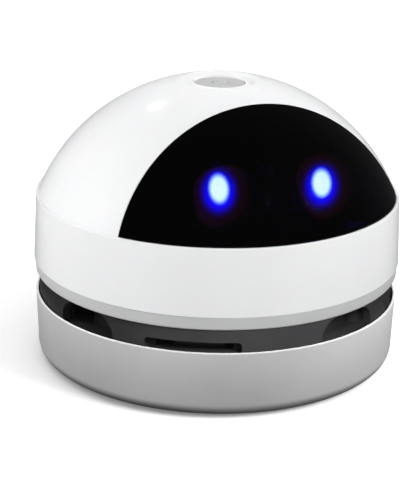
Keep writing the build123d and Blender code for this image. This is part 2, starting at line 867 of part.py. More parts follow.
def make_battery_strips():
    """Nickel strips welded to the two ends of the cell."""
    y_low = cell_back - strip_half_width
    y_high = cell_back + strip_half_width
    low = cell_z - cell_radius * 0.8
    high = cell_z + nub_radius
    plus = cell_length / 2 + nub_height
    minus = -cell_length / 2
    return group([
        block(plus, plus + strip_wall, y_low, y_high, low, high),
        block(minus - strip_wall, minus, y_low, y_high, low, high),
    ])


def make_battery_cradle():
    saddle_radius = cell_radius + fit
    low = cell_z - cell_radius - cradle_wall
    half = cradle_length / 2
    below = block(-half, half, cell_back - 2 * cell_radius, cell_back + 2 * cell_radius, low - past, cell_z)
    cradle = lying_tube(cell_radius + cradle_wall, saddle_radius, cradle_length) & below
    y_low = leg_y - leg_width / 2
    y_high = leg_y + leg_width / 2
    leg = block(half - cradle_leg, half, y_low, y_high, deck_top_z, low + cradle_wall)
    leg += block(half - cradle_leg, half + cradle_foot, y_low, y_high, deck_top_z, deck_top_z + cradle_plate)
    cradle += [leg, mirror(leg, about=Plane.YZ)]
    cradle -= lying_rod(saddle_radius, -half - past, half + past)
    for x, y in cradle_screws:
        cradle -= screw_hole(x, y, deck_top_z - past, deck_top_z + cradle_plate + past, small_shank)
    return cradle


def make_battery_strap():
    """Strap over the cell that stands on the cradle's edges."""
    half = strap_width / 2
    y_low = cell_back - 2 * cell_radius
    y_high = cell_back + 2 * cell_radius
    above = block(-half, half, y_low, y_high, cell_z, cell_z + 2 * cell_radius)
    return lying_tube(cell_radius + fit + strap_wall, cell_radius + fit, cradle_length) & above


# ---- Main board and charging socket ----
def make_main_board():
    half = board_width / 2
    board = block(-half, half, board_front, board_back, board_z, board_top_z)
    board = fillet(board.edges().filter_by(Axis.Z), board_round)
    tongue_half = tongue_width / 2
    board += block(-tongue_half, tongue_half, board_back - board_round, tongue_back, board_z, board_top_z)
    for x, y in board_screws:
        board -= screw_hole(x, y, board_z - past, board_top_z + past, small_shank)
    return board


def make_board_parts():
    """Charge controller, coil and capacitor on the main board."""
    half = controller_size / 2
    middle = board_front + board_depth * 0.4
    controller_top = board_top_z + controller_height
    controller = block(-half, half, middle - half, middle + half, board_top_z, controller_top)
    coil_y = board_front + board_depth * 0.65
    coil = peg(-board_width * 0.3, coil_y, board_top_z, board_top_z + coil_height, coil_radius)
    capacitor_y = board_front + board_depth * 0.7
    capacitor_top = board_top_z + capacitor_height
    capacitor = peg(board_width * 0.3, capacitor_y, board_top_z, capacitor_top, capacitor_radius)
    return group([controller, coil, capacitor])


def make_charging_socket():
    half = socket_width / 2
    top_z = board_top_z + socket_height
    shell = block(-half, half, socket_back, socket_front, board_top_z, top_z)
    shell = fillet(shell.edges().filter_by(Axis.Y), socket_height * 0.2)
    bore = block(
        -half + socket_wall,
        half - socket_wall,
        socket_back + socket_wall,
        socket_front + 1,
        board_top_z + socket_wall,
        top_z - socket_wall,
    )
    return shell - bore


def make_socket_tongue():
    half = socket_width / 2 - 3 * socket_wall
    low = board_top_z + (socket_height - socket_tongue) / 2
    y_high = socket_front - socket_recess
    return block(-half, half, socket_back + socket_wall, y_high, low, low + socket_tongue)


# ---- Light unit ----
led_board_low = deck_top_z + led_board_foot
led_board_top = led_board_low + led_board_height
bracket_top = led_board_top - bracket_drop
led_screw_heights = (eye_z - led_screw_drop, eye_z + led_screw_lift)


def led_board_hole(height, y_back):
    """Hole along Y for a screw of the light board."""
    return extrude(forward_plane(0, y_back + past, height) * Circle(small_shank + fit), led_board_setback)


def make_led_bracket():
    """Upright plate behind the light board, with a foot and two ribs in front."""
    half = bracket_width / 2
    foot_y = led_back_y - bracket_depth
    foot_top = deck_top_z + bracket_wall
    bracket = block(-half, half, led_back_y, bracket_back_y, deck_top_z, bracket_top)
    bracket += block(-half, half, foot_y, bracket_back_y, deck_top_z, foot_top)
    rib_outline = Polyline(
        (led_back_y, foot_top),
        (foot_y, foot_top),
        (led_back_y, led_board_low - bracket_rib_gap),
        close=True,
    )
    rib = extrude(Plane.YZ.offset(-bracket_wall / 2) * make_face(rib_outline), bracket_wall)
    bracket += [Pos(offset, 0, 0) * rib for offset in (-half * 0.3, half * 0.3)]
    for height in led_screw_heights:
        bracket -= led_board_hole(height, bracket_back_y)
    for x, y in bracket_screws:
        bracket -= screw_hole(x, y, deck_top_z - past, foot_top + past, small_shank)
    return bracket


def make_led_board():
    half = led_board_width / 2
    outline = Polyline(
        (-half, led_board_low),
        (half, led_board_low),
        (half, led_board_top - led_board_cut),
        (half - led_board_cut, led_board_top),
        (-half + led_board_cut, led_board_top),
        (-half, led_board_top - led_board_cut),
        close=True,
    )
    board = extrude(forward_plane(0, led_back_y, 0) * make_face(outline), led_board_wall)
    for height in led_screw_heights:
        board -= led_board_hole(height, bracket_back_y)
    return board


def make_led_chips():
    front = -led_board_setback
    half = led_size / 2
    chip = block(-half, half, front - led_depth, front, eye_z - half, eye_z + half)
    return group([Pos(-eye_spread, 0, 0) * chip, Pos(eye_spread, 0, 0) * chip])


def make_eye_lens(side):
    """Oval diffuser in front of one light."""
    back = forward_plane(side * eye_spread, -(led_board_setback + led_depth), eye_z)
    lens = extrude(back * Ellipse(eye_width / 2, eye_height / 2), lens_depth)
    front_edge = lens.edges().sort_by(Axis.Y)[0]
    return fillet(front_edge, lens_round)


def make_light_cup(side):
    """Flared shroud around one light, its mouth trimmed to the inside of the visor."""
    foot = forward_plane(side * eye_spread, -led_board_setback, eye_z)
    mouth = foot.offset(cup_depth)
    outside = loft([foot * Circle(cup_foot_radius), mouth * Circle(cup_mouth_radius)])
    inside = loft([foot * Circle(cup_foot_radius - cup_wall), mouth * Circle(cup_mouth_radius - cup_wall)])
    return (outside - inside) & dome_body(dome_wall + cup_gap, spigot_z)


def make_led_screws():
    driven_back = Rot(90, 0, 0) * small_screw(led_board_wall + bracket_wall)
    return group(Pos(0, -led_board_setback, height) * driven_back for height in led_screw_heights)


# ---- Fasteners on the deck and the case ----
def make_deck_screws():
    """Screws down into the deck and up into the motor."""
    bracket = small_screw(bracket_wall + deck_thickness)
    cradle = small_screw(cradle_plate + deck_thickness)
    board = small_screw(board_wall + standoff_height + deck_thickness)
    motor = Rot(180, 0, 0) * small_screw(deck_thickness + motor_wall)
    screws = [Pos(x, y, deck_top_z + bracket_wall) * bracket for x, y in bracket_screws]
    screws += [Pos(x, y, deck_top_z + cradle_plate) * cradle for x, y in cradle_screws]
    screws += [Pos(x, y, board_top_z) * board for x, y in board_screws]
    screws += [Pos(x, y, deck_z) * motor for x, y in motor_screws]
    return group(screws)


def make_case_screws():
    """Long screws from the drum's posts, through the deck, into the band's bosses."""
    seat = drum_floor_z + case_head_seat
    length = deck_top_z + case_screw_grip - seat
    case_screw = screw(case_head, case_head_height, case_shank, length)
    return group(around(post_azimuths, Pos(0, -post_circle, seat) * Rot(180, 0, 0) * case_screw))


# ---- Dust bowl ----
plate_screw_circle = (floor_hole_radius + sole_radius) / 2


def bayonet_lug():
    low = rim_z - lug_drop
    return sector(bowl_bore + fit, bowl_bore - lug_reach, low, low + lug_height, -lug_arc / 2, lug_arc)


def glide_pad(low, high, margin):
    """Pad along the bowl's edge; margin widens it for its pocket."""
    middle = (sole_radius + bowl_foot_radius - bowl_corner) / 2
    outer = middle + pad_width / 2 + margin
    inner = middle - pad_width / 2 - margin
    arc = pad_arc + 2 * arc_degrees(margin, middle)
    return sector(outer, inner, low, high, -arc / 2, arc)


def make_dust_bowl():
    seat_bore = bowl_bore - seat_width
    bowl = turned([
        (sole_radius, bowl_z),
        (bowl_foot_radius, bowl_z),
        (rim_radius, rim_z),
        (rim_recess_radius, rim_z),
        (rim_recess_radius, rim_z - rim_recess),
        (bowl_bore, rim_z - rim_recess),
        (bowl_bore, seat_z),
        (seat_bore, seat_z),
        (seat_bore, floor_z),
        (floor_hole_radius, floor_z),
        (floor_hole_radius, floor_under_z),
        (sole_radius, floor_under_z),
    ])
    bowl = fillet(circles_at(bowl, bowl_foot_radius, bowl_z), bowl_corner)
    bowl = fillet(circles_at(bowl, rim_radius, rim_z), rim_round)
    bowl = fillet(circles_at(bowl, seat_bore, floor_z), inner_round)
    bowl += around(lug_azimuths, bayonet_lug())
    boss_top = floor_z + plate_boss_height
    boss = peg(0, -plate_screw_circle, floor_z - bowl_floor / 2, boss_top, plate_boss_radius)
    bowl += around(plate_screw_azimuths, boss)
    hole_top = sole_z + plate_screw_length + plate_screw_spare
    hole = screw_hole(0, -plate_screw_circle, floor_under_z - past, hole_top, small_shank)
    bowl -= around(plate_screw_azimuths, hole)
    return bowl - around(pad_azimuths, glide_pad(bowl_z - 1, bowl_z + pad_pocket, fit))


def make_glide_pads():
    return group(around(pad_azimuths, glide_pad(0, bowl_z + pad_pocket, 0)))


def make_filter_frame():
    outer = bowl_bore - turning_gap
    inner = outer - filter_flange_width
    slope_foot = inner + filter_wall * 1.4
    slope_top = slope_foot - filter_slope
    rim_bore = slope_top - filter_rim
    under_z = filter_z - filter_wall
    frame = turned([
        (inner, seat_z),
        (outer, seat_z),
        (outer, flange_z),
        (slope_foot, flange_z),
        (slope_top, filter_z),
        (rim_bore, filter_z),
        (rim_bore, under_z),
        (slope_top - filter_wall * 0.5, under_z),
    ])
    frame += disc(filter_hub, under_z, filter_z)
    half = spoke_width / 2
    spoke = block(-half, half, -(rim_bore + filter_rim / 3), 0, under_z, filter_z)
    return frame + [Rot(0, 0, 360 * number / spoke_count) * spoke for number in range(spoke_count)]


def make_filter_mesh():
    outer = bowl_bore - turning_gap - filter_flange_width + filter_wall * 1.4 - filter_slope
    return disc(outer - filter_wall * 0.5, mesh_z, mesh_z + mesh_wall)


def make_filter_seal():
    outer = bowl_bore - drum_gap
    return ring(outer, outer - seal_width, flange_z, seal_z)


# ---- Bottom plate and brushes ----
def mouth_outline(margin):
    return RectangleRounded(mouth_width + 2 * margin, mouth_depth + 2 * margin, mouth_round + margin)


def make_bottom_plate():
    """Plate under the bowl, with the suction mouth's chimney standing on it."""
    base = Plane.XY.offset(sole_z)
    plate = disc(sole_radius - slip, sole_z, floor_under_z)
    plate = chamfer(circles_at(plate, sole_radius - slip, sole_z), sole_plate * 0.25)
    chimney_top = chimney_height + sole_plate
    plate += extrude(base * mouth_outline(chimney_wall), chimney_top, taper=chimney_taper)
    plate -= extrude(base * mouth_outline(0), chimney_top, taper=chimney_taper)
    groove = block(
        -(strip_length / 2 + fit),
        strip_length / 2 + fit,
        strip_y - strip_width / 2 - fit,
        strip_y + strip_width / 2 + fit,
        sole_z,
        sole_z + strip_groove,
    )
    plate -= [groove, Rot(0, 0, 180) * groove]
    hole = screw_hole(0, -plate_screw_circle, sole_z - past, floor_under_z + past, small_shank)
    return plate - around(plate_screw_azimuths, hole)


def make_plate_screws():
    driven_up = Pos(0, -plate_screw_circle, sole_z) * Rot(180, 0, 0) * small_screw(plate_screw_length)
    return group(around(plate_screw_azimuths, driven_up))


strip_top_z = sole_z + strip_groove
strip_z = strip_top_z - strip_height


def make_brush_strips():
    half = strip_length / 2
    strip = block(-half, half, strip_y - strip_width / 2, strip_y + strip_width / 2, strip_z, strip_top_z)
    return group([strip, Rot(0, 0, 180) * strip])


def make_brush_tufts():
    count = int((strip_length - bristle_pitch) / bristle_pitch) + 1
    span = (count - 1) * bristle_pitch
    row = [
        peg(number * bristle_pitch - span / 2, strip_y, bristle_lift, strip_z, bristle_radius)
        for number in range(count)
    ]
    return group(row + [Rot(0, 0, 180) * tuft for tuft in row])


# ---- Nodes ----
nodes = {
    "dome_shell": make_dome_shell,
    "visor": make_visor,
    "body_band": make_body_band,
    "trim_ring": make_trim_ring,
    "exhaust_drum": make_exhaust_drum,
    "motor_deck": make_motor_deck,
    "motor_can": make_motor_can,
    "motor_end_cap": make_motor_end_cap,
    "motor_bushes": make_motor_bushes,
    "motor_magnets": make_motor_magnets,
    "motor_terminals": make_motor_terminals,
    "motor_shaft": make_motor_shaft,
    "motor_armature": make_motor_armature,
    "motor_windings": make_motor_windings,
    "motor_commutator": make_motor_commutator,
    "impeller": make_impeller,
    "power_button": make_power_button,
    "switch_plunger": make_switch_plunger,
    "button_spring": make_button_spring,
    "switch_body": make_switch_body,
    "switch_board": make_switch_board,
    "switch_screws": make_switch_screws,
    "battery_cell": make_battery_cell,
    "battery_strips": make_battery_strips,
    "battery_cradle": make_battery_cradle,
    "battery_strap": make_battery_strap,
    "main_board": make_main_board,
    "board_parts": make_board_parts,
    "charging_socket": make_charging_socket,
    "socket_tongue": make_socket_tongue,
    "led_bracket": make_led_bracket,
    "led_board": make_led_board,
    "led_chips": make_led_chips,
    "eye_lens_left": lambda: make_eye_lens(-1),
    "eye_lens_right": lambda: make_eye_lens(1),
    "light_cup_left": lambda: make_light_cup(-1),
    "light_cup_right": lambda: make_light_cup(1),
    "led_screws": make_led_screws,
    "deck_screws": make_deck_screws,
    "case_screws": make_case_screws,
    "dust_bowl": make_dust_bowl,
    "glide_pads": make_glide_pads,
    "filter_frame": make_filter_frame,
    "filter_mesh": make_filter_mesh,
    "filter_seal": make_filter_seal,
    "bottom_plate": make_bottom_plate,
    "plate_screws": make_plate_screws,
    "brush_strips": make_brush_strips,
    "brush_tufts": make_brush_tufts,
}

os.makedirs("parts", exist_ok=True)
for name, make in nodes.items():
    export_step(make(), f"parts/{name}.step")
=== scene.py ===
import math

import bmesh
import bpy
from mathutils import Matrix, Vector


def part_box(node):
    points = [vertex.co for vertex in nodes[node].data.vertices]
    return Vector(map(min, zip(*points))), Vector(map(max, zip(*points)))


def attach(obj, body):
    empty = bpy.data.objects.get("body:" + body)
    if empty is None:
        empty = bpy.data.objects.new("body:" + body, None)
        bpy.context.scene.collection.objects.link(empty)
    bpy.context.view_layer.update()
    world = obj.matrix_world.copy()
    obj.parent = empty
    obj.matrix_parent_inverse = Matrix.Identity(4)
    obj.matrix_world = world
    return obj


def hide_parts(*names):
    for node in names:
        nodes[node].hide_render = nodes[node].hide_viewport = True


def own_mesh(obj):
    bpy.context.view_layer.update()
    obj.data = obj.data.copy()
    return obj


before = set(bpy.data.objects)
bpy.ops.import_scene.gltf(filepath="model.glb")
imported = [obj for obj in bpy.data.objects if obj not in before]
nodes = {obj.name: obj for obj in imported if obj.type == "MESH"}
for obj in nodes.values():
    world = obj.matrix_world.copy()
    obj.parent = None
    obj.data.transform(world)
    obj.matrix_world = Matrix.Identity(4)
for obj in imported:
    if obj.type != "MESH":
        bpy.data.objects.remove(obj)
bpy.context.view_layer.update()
scene = bpy.context.scene
MM, METRE = 0.001, 1000  # a millimetre in metres, and a metre in millimetres

# ---------------------------------------------------------------- sizes (mm), as in the solid model
bowl_z, rim_z, ring_z, band_z, shoulder_z, crown_z = 0.5, 16.5, 22.0, 25.0, 41.0, 68.0
body_r, band_foot_r, band_lip_r, dome_r = 44.0, 44.25, 43.6, 43.0
band_bore, ring_bore = 41.9, 41.35

# dome: the radius of its arc, its wall, its crown and the dish and guide of the button
dome_arc, dome_wall = 46.0, 2.0
crown_r, crown_ease, crown_rise = 9.0, 0.35, 0.01
dish_depth, guide_bore, guide_lip, guide_wall, guide_z = 0.45, 6.25, 0.16, 1.5, 64.5

# visor: its edge lies in a plane that leans back, a seam away from the dome's; both edges are rounded
setback, lean, seam, edge_round = 22.4, math.radians(13.3), 0.08, 0.11
eye_spread, eye_z = 13.1, 48.7

# the button's face, and its spring, which shortens by the button's press
button_sink = 0.3
face_z = crown_z - dish_depth - button_sink
spring_top, spring_height, press = face_z - 1.86, 2.68, 1.2

# light of an eye as seen through the visor. By side (-1 left, 1 right): the slopes across and up of the
# line of sight, and the light's shift across and up from the lens's middle
glow_slope = {-1: (0.532, 0.361), 1: (0.614, 0.366)}
glow_shift = {-1: (-0.05, 0.95), 1: (0.20, -1.07)}
glow_power, glow_reach = 32.0, 2.6
# its core, its blue ring and the dim cup round it, each with its shift, half width, half height, slant and
# the colour at some distances from its middle, where 1 is its half width or half height. The core is the
# lens's glow; the blue ring and the dim cup, where they fall on the bezel and the cups, are painted light
core_stops = (
    (0.0, (0.79, 1.0, 0.92)), (0.72, (0.71, 0.98, 0.92)), (0.84, (0.45, 0.72, 1.0)),
    (1.0, (0.15, 0.25, 0.98)), (1.14, (0.015, 0.020, 0.85)), (1.25, (0.0, 0.0, 0.30)),
    (1.45, (0.0, 0.0, 0.0)), (2.6, (0.0, 0.0, 0.0)),
)
halo_stops = (
    (0.0, (0.007, 0.001, 0.90)), (1.28, (0.007, 0.001, 0.88)), (1.5, (0.006, 0.001, 0.62)),
    (1.64, (0.006, 0.0, 0.48)), (1.8, (0.006, 0.0, 0.28)), (1.95, (0.006, 0.0, 0.13)),
    (2.2, (0.005, 0.0, 0.035)), (2.4, (0.004, 0.0, 0.010)), (2.6, (0.0, 0.0, 0.0)),
)
cup_stops = (
    (0.0, (0.006, 0.0006, 0.010)), (1.3, (0.006, 0.0006, 0.008)), (1.7, (0.005, 0.0006, 0.003)),
    (1.9, (0.004, 0.0005, 0.0012)), (2.1, (0.0, 0.0, 0.0)), (2.6, (0.0, 0.0, 0.0)),
)
glow_layers = (
    ((0, 0), 2.15, 3.13, math.radians(7), core_stops),
    ((0.04, -0.68), 2.0, 2.45, 0.0, halo_stops),
    ((-0.75, -0.8), 3.6, 3.7, 0.0, cup_stops),
)


# ---------------------------------------------------------------- mesh helpers
def make_object(name, verts, faces, sharp=32.0, merge=0.0005):
    """Mesh object from points in millimetres, cleaned, smooth but for its sharp edges."""
    mesh = bpy.data.meshes.new(name)
    mesh.from_pydata([(x * MM, y * MM, z * MM) for x, y, z in verts], [], faces)
    work = bmesh.new()
    work.from_mesh(mesh)
    bmesh.ops.remove_doubles(work, verts=work.verts, dist=merge * MM)
    bmesh.ops.dissolve_degenerate(work, edges=work.edges, dist=merge * MM)
    bmesh.ops.recalc_face_normals(work, faces=work.faces)
    work.to_mesh(mesh)
    work.free()
    obj = bpy.data.objects.new(name, mesh)
    scene.collection.objects.link(obj)
    smooth_by_angle(obj, sharp)
    return obj


def smooth_by_angle(obj, degrees):
    """Smooth shading, but for edges sharper than an angle."""
    obj.data.shade_smooth()
    obj.data.set_sharp_from_angle(angle=math.radians(degrees))


def cut(obj, cutters, how="DIFFERENCE"):
    """Takes the cutters out of an object, or joins them to it."""
    for cutter in cutters:
        step = obj.modifiers.new("cut", "BOOLEAN")
        step.operation = how
        step.solver = "EXACT"
        step.object = cutter
    bpy.context.view_layer.update()
    graph = bpy.context.evaluated_depsgraph_get()
    old, obj.data = obj.data, bpy.data.meshes.new_from_object(obj.evaluated_get(graph))
    obj.modifiers.clear()
    bpy.data.meshes.remove(old)
    for cutter in cutters:
        bpy.data.objects.remove(cutter)


def rounded(corners, steps=5):
    """Closed outline from (x, y, fillet) corners; one without a fillet stays sharp."""
    points = []
    count = len(corners)
    for i in range(count):
        here = Vector(corners[i][:2])
        size = corners[i][2] if len(corners[i]) > 2 else 0
        if not size:
            points.append(tuple(here))
            continue
        before = (Vector(corners[i - 1][:2]) - here).normalized()
        after = (Vector(corners[(i + 1) % count][:2]) - here).normalized()
        half = math.acos(max(-1, min(1, before.dot(after)))) / 2
        reach = size / math.tan(half)
        middle = here + (before + after).normalized() * size / math.sin(half)
        start = here + before * reach - middle
        sweep = start.angle_signed(here + after * reach - middle)
        for step in range(steps + 1):
            turn = Matrix.Rotation(-sweep * step / steps, 2)
            points.append(tuple(middle + turn @ start))
    return points


def round_rectangle(width, height, corner, steps=8):
    w, h = width / 2, height / 2
    return rounded([(-w, -h, corner), (w, -h, corner), (w, h, corner), (-w, h, corner)], steps)


def circle(radius, angles):
    """Points on a circle, at angles counted from straight up towards the right."""
    return [(radius * math.sin(angle), radius * math.cos(angle)) for angle in angles]


def spun(theta, r, z):
    """Point at a radius and a height, turned round the axis from the face."""
    return r * math.sin(theta), -r * math.cos(theta), z


def strip(columns, closed):
    """Faces between neighbouring closed columns of points."""
    count = len(columns[0])
    verts = [point for column in columns for point in column]
    faces = []
    for c in range(len(columns) if closed else len(columns) - 1):
        a, b = c * count, (c + 1) % len(columns) * count
        for i in range(count):
            j = (i + 1) % count
            faces.append((a + i, a + j, b + j, b + i))
    return verts, faces


def tube(rings):
    """Faces between neighbouring rings of points, with both ends closed."""
    verts, faces = strip(rings, False)
    sides = len(rings[0])
    faces += [tuple(range(len(verts) - sides, len(verts))), tuple(range(sides))[::-1]]
    return verts, faces


def lathe(name, outline, segments=288):
    """Closed outline of (radius, height) points turned about the axis."""
    columns = [[spun(2 * math.pi * s / segments, r, z) for r, z in outline] for s in range(segments)]
    return make_object(name, *strip(columns, True))


def prism(name, outline, place, depth):
    """Outline (across, up) in mm, pushed along the place's Z axis."""
    count = len(outline)
    verts = [place @ Vector((x, y, 0)) for x, y in outline]
    verts += [place @ Vector((x, y, depth)) for x, y in outline]
    faces = [tuple(range(count))[::-1], tuple(range(count, 2 * count))]
    faces += [(i, (i + 1) % count, (i + 1) % count + count, i + count) for i in range(count)]
    return make_object(name, verts, faces)


def facing(azimuth, radius, height):
    """Place on the wall at an azimuth from the face: X across, Y up, Z outward."""
    angle = math.radians(azimuth)
    out = Vector((math.sin(angle), -math.cos(angle), 0))
    across = Vector((math.cos(angle), math.sin(angle), 0))
    up = Vector((0, 0, 1))
    turn = Matrix((across, up, out)).transposed().to_4x4()
    return Matrix.Translation(out * radius + up * height) @ turn


# ---------------------------------------------------------------- dome and visor
# middle of the arc that is turned into the dome, from its chord between shoulder and crown
run = dome_r - crown_r
chord = math.hypot(run, crown_z - shoulder_z)
lift = math.sqrt(dome_arc**2 - (chord / 2) ** 2)
arc_r = (dome_r + crown_r) / 2 - lift * (crown_z - shoulder_z) / chord
arc_z = (shoulder_z + crown_z) / 2 - lift * run / chord


def arc_point(inset, angle):
    """Radius and height at an angle of the arc, or of the one an inset inside it."""
    reach = dome_arc - inset
    return arc_r + reach * math.cos(angle), arc_z + reach * math.sin(angle)


def arc_angle(inset, height):
    """Angle at which the arc, or the one an inset inside it, reaches a height."""
    return math.asin((height - arc_z) / (dome_arc - inset))


def on_arc(inset, place):
    """Point of the dome at a place, which is an azimuth and an arc angle."""
    theta, angle = place
    return spun(theta, *arc_point(inset, angle))


def arc_rows(inset, start, end, steps):
    """Points of the dome strictly between two places."""
    rows = []
    for k in range(1, steps):
        rows.append(on_arc(inset, [first + (last - first) * k / steps for first, last in zip(start, end)]))
    return rows


def corner_theta(inset, shift):
    """Azimuth at which the visor's edge, shifted forward, meets the shoulder."""
    r, _ = arc_point(inset, arc_angle(inset, shoulder_z))
    return math.acos((shift / math.cos(lean) + setback) / r)


def foot_place(turn, inset, shift):
    """Place on the visor's foot, as turn goes from 0 to pi, left end to right end."""
    return -math.cos(turn) * corner_theta(inset, shift), arc_angle(inset, shoulder_z)


def edge_place(turn, inset, shift):
    """Place on the visor's edge, as turn goes from 0 to pi, left end to right end."""
    start = setback + shift / math.cos(lean)
    near, far = 0, 2 * dome_r
    halvings = 40
    for _ in range(halvings):
        reach = (near + far) / 2
        x, rise = -reach * math.cos(turn), reach * math.sin(turn)
        y, z = start - rise * math.sin(lean), shoulder_z + rise * math.cos(lean)
        r = math.hypot(x, y)
        if math.hypot(r - arc_r, z - arc_z) < dome_arc - inset:
            near = reach
        else:
            far = reach
    return math.atan2(x, y), math.atan2(z - arc_z, r - arc_r)


def edge_rows(edge, sign, base_shift, steps=5):
    """Points of the rounded edge at one place along it, from the outside to the inside.
    The sign is 1 for the visor's edge and -1 for the dome's."""
    rows = []
    for k in range(steps + 1):
        t = math.pi / 2 * k / steps
        inset = edge_round * (1 - math.cos(t))
        shift = base_shift + sign * edge_round * (1 - math.sin(t))
        rows.append(on_arc(inset, edge(inset, shift)))
    rows.append(on_arc(dome_wall, edge(dome_wall, base_shift)))
    return rows


def make_visor():
    """Columns of points from the foot up to the edge and down again on the inside."""
    steps, outer_rows, inner_rows = 200, 48, 24
    outer_shift = seam + edge_round
    columns = []
    for c in range(steps + 1):
        turn = math.pi * c / steps
        foot, top = foot_place(turn, 0, outer_shift), edge_place(turn, 0, outer_shift)
        column = [on_arc(0, foot)] + arc_rows(0, foot, top, outer_rows)
        column += edge_rows(lambda inset, shift: edge_place(turn, inset, shift), 1, seam)
        foot, top = foot_place(turn, dome_wall, seam), edge_place(turn, dome_wall, seam)
        column += arc_rows(dome_wall, top, foot, inner_rows) + [on_arc(dome_wall, foot)]
        columns.append(column)
    return make_object("visor_window", *strip(columns, False), sharp=28)


def dome_crown(theta):
    """Points from the outer arc's top over the dish and down the button's guide to the inner arc's top."""
    dish_z = crown_z - dish_depth
    slope = dish_depth / (crown_r - guide_bore)
    lip_middle = guide_lip * 0.3
    outline = [
        (crown_r - crown_ease, crown_z - crown_ease * slope + crown_rise),
        (guide_bore + guide_lip, dish_z + guide_lip * slope),
        (guide_bore + lip_middle, dish_z - lip_middle),
        (guide_bore, dish_z - guide_lip), (guide_bore, guide_z),
        (guide_bore + guide_wall, guide_z), (guide_bore + guide_wall, crown_z - dome_wall),
    ]
    return [spun(theta, r, z) for r, z in outline]


def make_dome():
    """Columns of points from the edge over the crown and down again on the inside, along the visor's edge
    first and then round the back, where the edge is the shoulder."""
    front_steps, back_steps, outer_rows, inner_rows = 200, 200, 56, 24
    columns = []
    for c in range(front_steps + back_steps):
        turn = math.pi * min(c / front_steps, 1)
        past_corner = max(c - front_steps, 0) / back_steps

        def azimuth(inset, shift):
            corner = corner_theta(inset, shift)
            return -math.cos(turn) * corner + past_corner * 2 * (math.pi - corner)

        def lower(inset, shift):
            if c < front_steps:
                return edge_place(turn, inset, shift)
            return azimuth(inset, shift), arc_angle(inset, shoulder_z)

        top = (azimuth(0, -edge_round), arc_angle(0, crown_z))
        column = edge_rows(lower, -1, 0)[::-1] + arc_rows(0, lower(0, -edge_round), top, outer_rows)
        column += [on_arc(0, top)] + dome_crown(top[0])
        top = (azimuth(dome_wall, 0), arc_angle(dome_wall, crown_z - dome_wall))
        column += [on_arc(dome_wall, top)] + arc_rows(dome_wall, top, lower(dome_wall, 0), inner_rows)
        columns.append(column)
    return make_object("dome_cover", *strip(columns, True), sharp=28)


def make_spigot():
    """The dome's spigot, which stands inside the top of the band."""
    bore, outside, foot, top = 40.85, 41.75, 38.0, 40.95
    return lathe("dome_spigot", rounded([(bore, foot), (outside, foot), (outside, top), (bore, top)]))


# ---------------------------------------------------------------- band, ring and bowl
def make_bosses():
    """Screw bosses on the band's inside, a little sunk into its wall, and the cutters of their holes."""
    azimuths, post_circle, boss_z = (-55.5, 34.5, 124.5, 214.5), 36.9, 29.4
    boss_r, boss_height, round_end, sunk = 3.2, 8.6, 150, 0.05
    hole_r, hole_depth, below = 1.25, 7.0, 0.1
    wall = post_circle - band_bore - sunk
    boss_outline = circle(boss_r, [math.radians(a) for a in range(-round_end, round_end + 1, 10)])
    boss_outline += [(boss_r / 2, wall), (-boss_r / 2, wall)]
    hole_outline = circle(hole_r, [math.radians(a) for a in range(0, 360, 15)])
    bosses, holes = [], []
    for azimuth in azimuths:
        place = Matrix.Rotation(math.radians(azimuth), 4, "Z") @ Matrix.Translation((0, -post_circle, boss_z))
        bosses.append(prism("boss", boss_outline, place, boss_height))
        start = place @ Matrix.Translation((0, 0, -below))
        holes.append(prism("boss_hole", hole_outline, start, hole_depth + below))
    return bosses, holes


def make_band():
    """Band with its screw bosses and, at the back, the charging port in its shallow recess."""
    edge = 0.3
    port_z, port_width, port_height, port_corner, port_r = 33.95, 8.3, 3.4, 1.19, 40.0
    recess_width, recess_height, recess_corner, recess_r = 10.2, 5.3, 2.0, 43.0
    cutter_end = 46.0
    band = lathe("band_shell", rounded([
        (band_bore, band_z), (band_foot_r, band_z, edge),
        (band_lip_r, shoulder_z, edge), (band_bore, shoulder_z),
    ], 6))
    bosses, holes = make_bosses()
    cut(band, bosses, "UNION")
    cut(band, holes)
    port = round_rectangle(port_width, port_height, port_corner)
    recess = round_rectangle(recess_width, recess_height, recess_corner)
    cut(band, [
        prism("port_cutter", port, facing(180, port_r, port_z), cutter_end - port_r),
        prism("port_rim_cutter", recess, facing(180, recess_r, port_z), cutter_end - recess_r),
    ])
    smooth_by_angle(band, 30)
    return band


def make_ring():
    """Trim ring: a bevelled foot, a wall that flares a little and a rim that stands up inside the band."""
    foot_r, bevel_r, bevel_height, rim_r, rim_top = 43.55, 43.865, 0.32, 41.85, 27.0
    foot_edge, bevel_edge, top_edge = 0.05, 0.10, 0.15
    return lathe("trim_band", rounded([
        (ring_bore, ring_z), (foot_r, ring_z, foot_edge), (bevel_r, ring_z + bevel_height, bevel_edge),
        (body_r, band_z, top_edge), (rim_r, band_z), (rim_r, rim_top), (ring_bore, rim_top),
    ]))


def make_bowl():
    """Bowl: a wall with a thin lip, and a floor round an opening, recessed for the bottom plate."""
    foot_r, foot_round, rim_r, rim_edge = 43.35, 3.3, 43.9, 0.25
    lip_bore, lip_edge, lip_depth, wall_bore = 43.3, 0.15, 1.0, 41.9
    step_z, step_bore, floor_top, floor_round = 8.5, 40.9, 5.6, 1.2
    opening_r, recess_r, recess_top, recess_edge = 29.5, 33.6, 4.0, 0.3
    return lathe("bowl_shell", rounded([
        (recess_r, bowl_z, recess_edge), (foot_r, bowl_z, foot_round), (rim_r, rim_z, rim_edge),
        (lip_bore, rim_z, lip_edge), (lip_bore, rim_z - lip_depth), (wall_bore, rim_z - lip_depth),
        (wall_bore, step_z), (step_bore, step_z), (step_bore, floor_top, floor_round),
        (opening_r, floor_top), (opening_r, recess_top), (recess_r, recess_top),
    ], 10))


def paint_bowl_inside_shade(bowl):
    """Painted shade: black on the bowl's inside, which shows through the drum's slots; the bowl is grey all
    through, and the black stands in for the shade in there.
    """
    inside_z, inside_r = 4.5, 43.25
    bowl.data.materials.append(black_matte)
    for face in bowl.data.polygons:
        middle = face.center / MM
        if middle.z > inside_z and math.hypot(middle.x, middle.y) < inside_r:
            face.material_index = 1


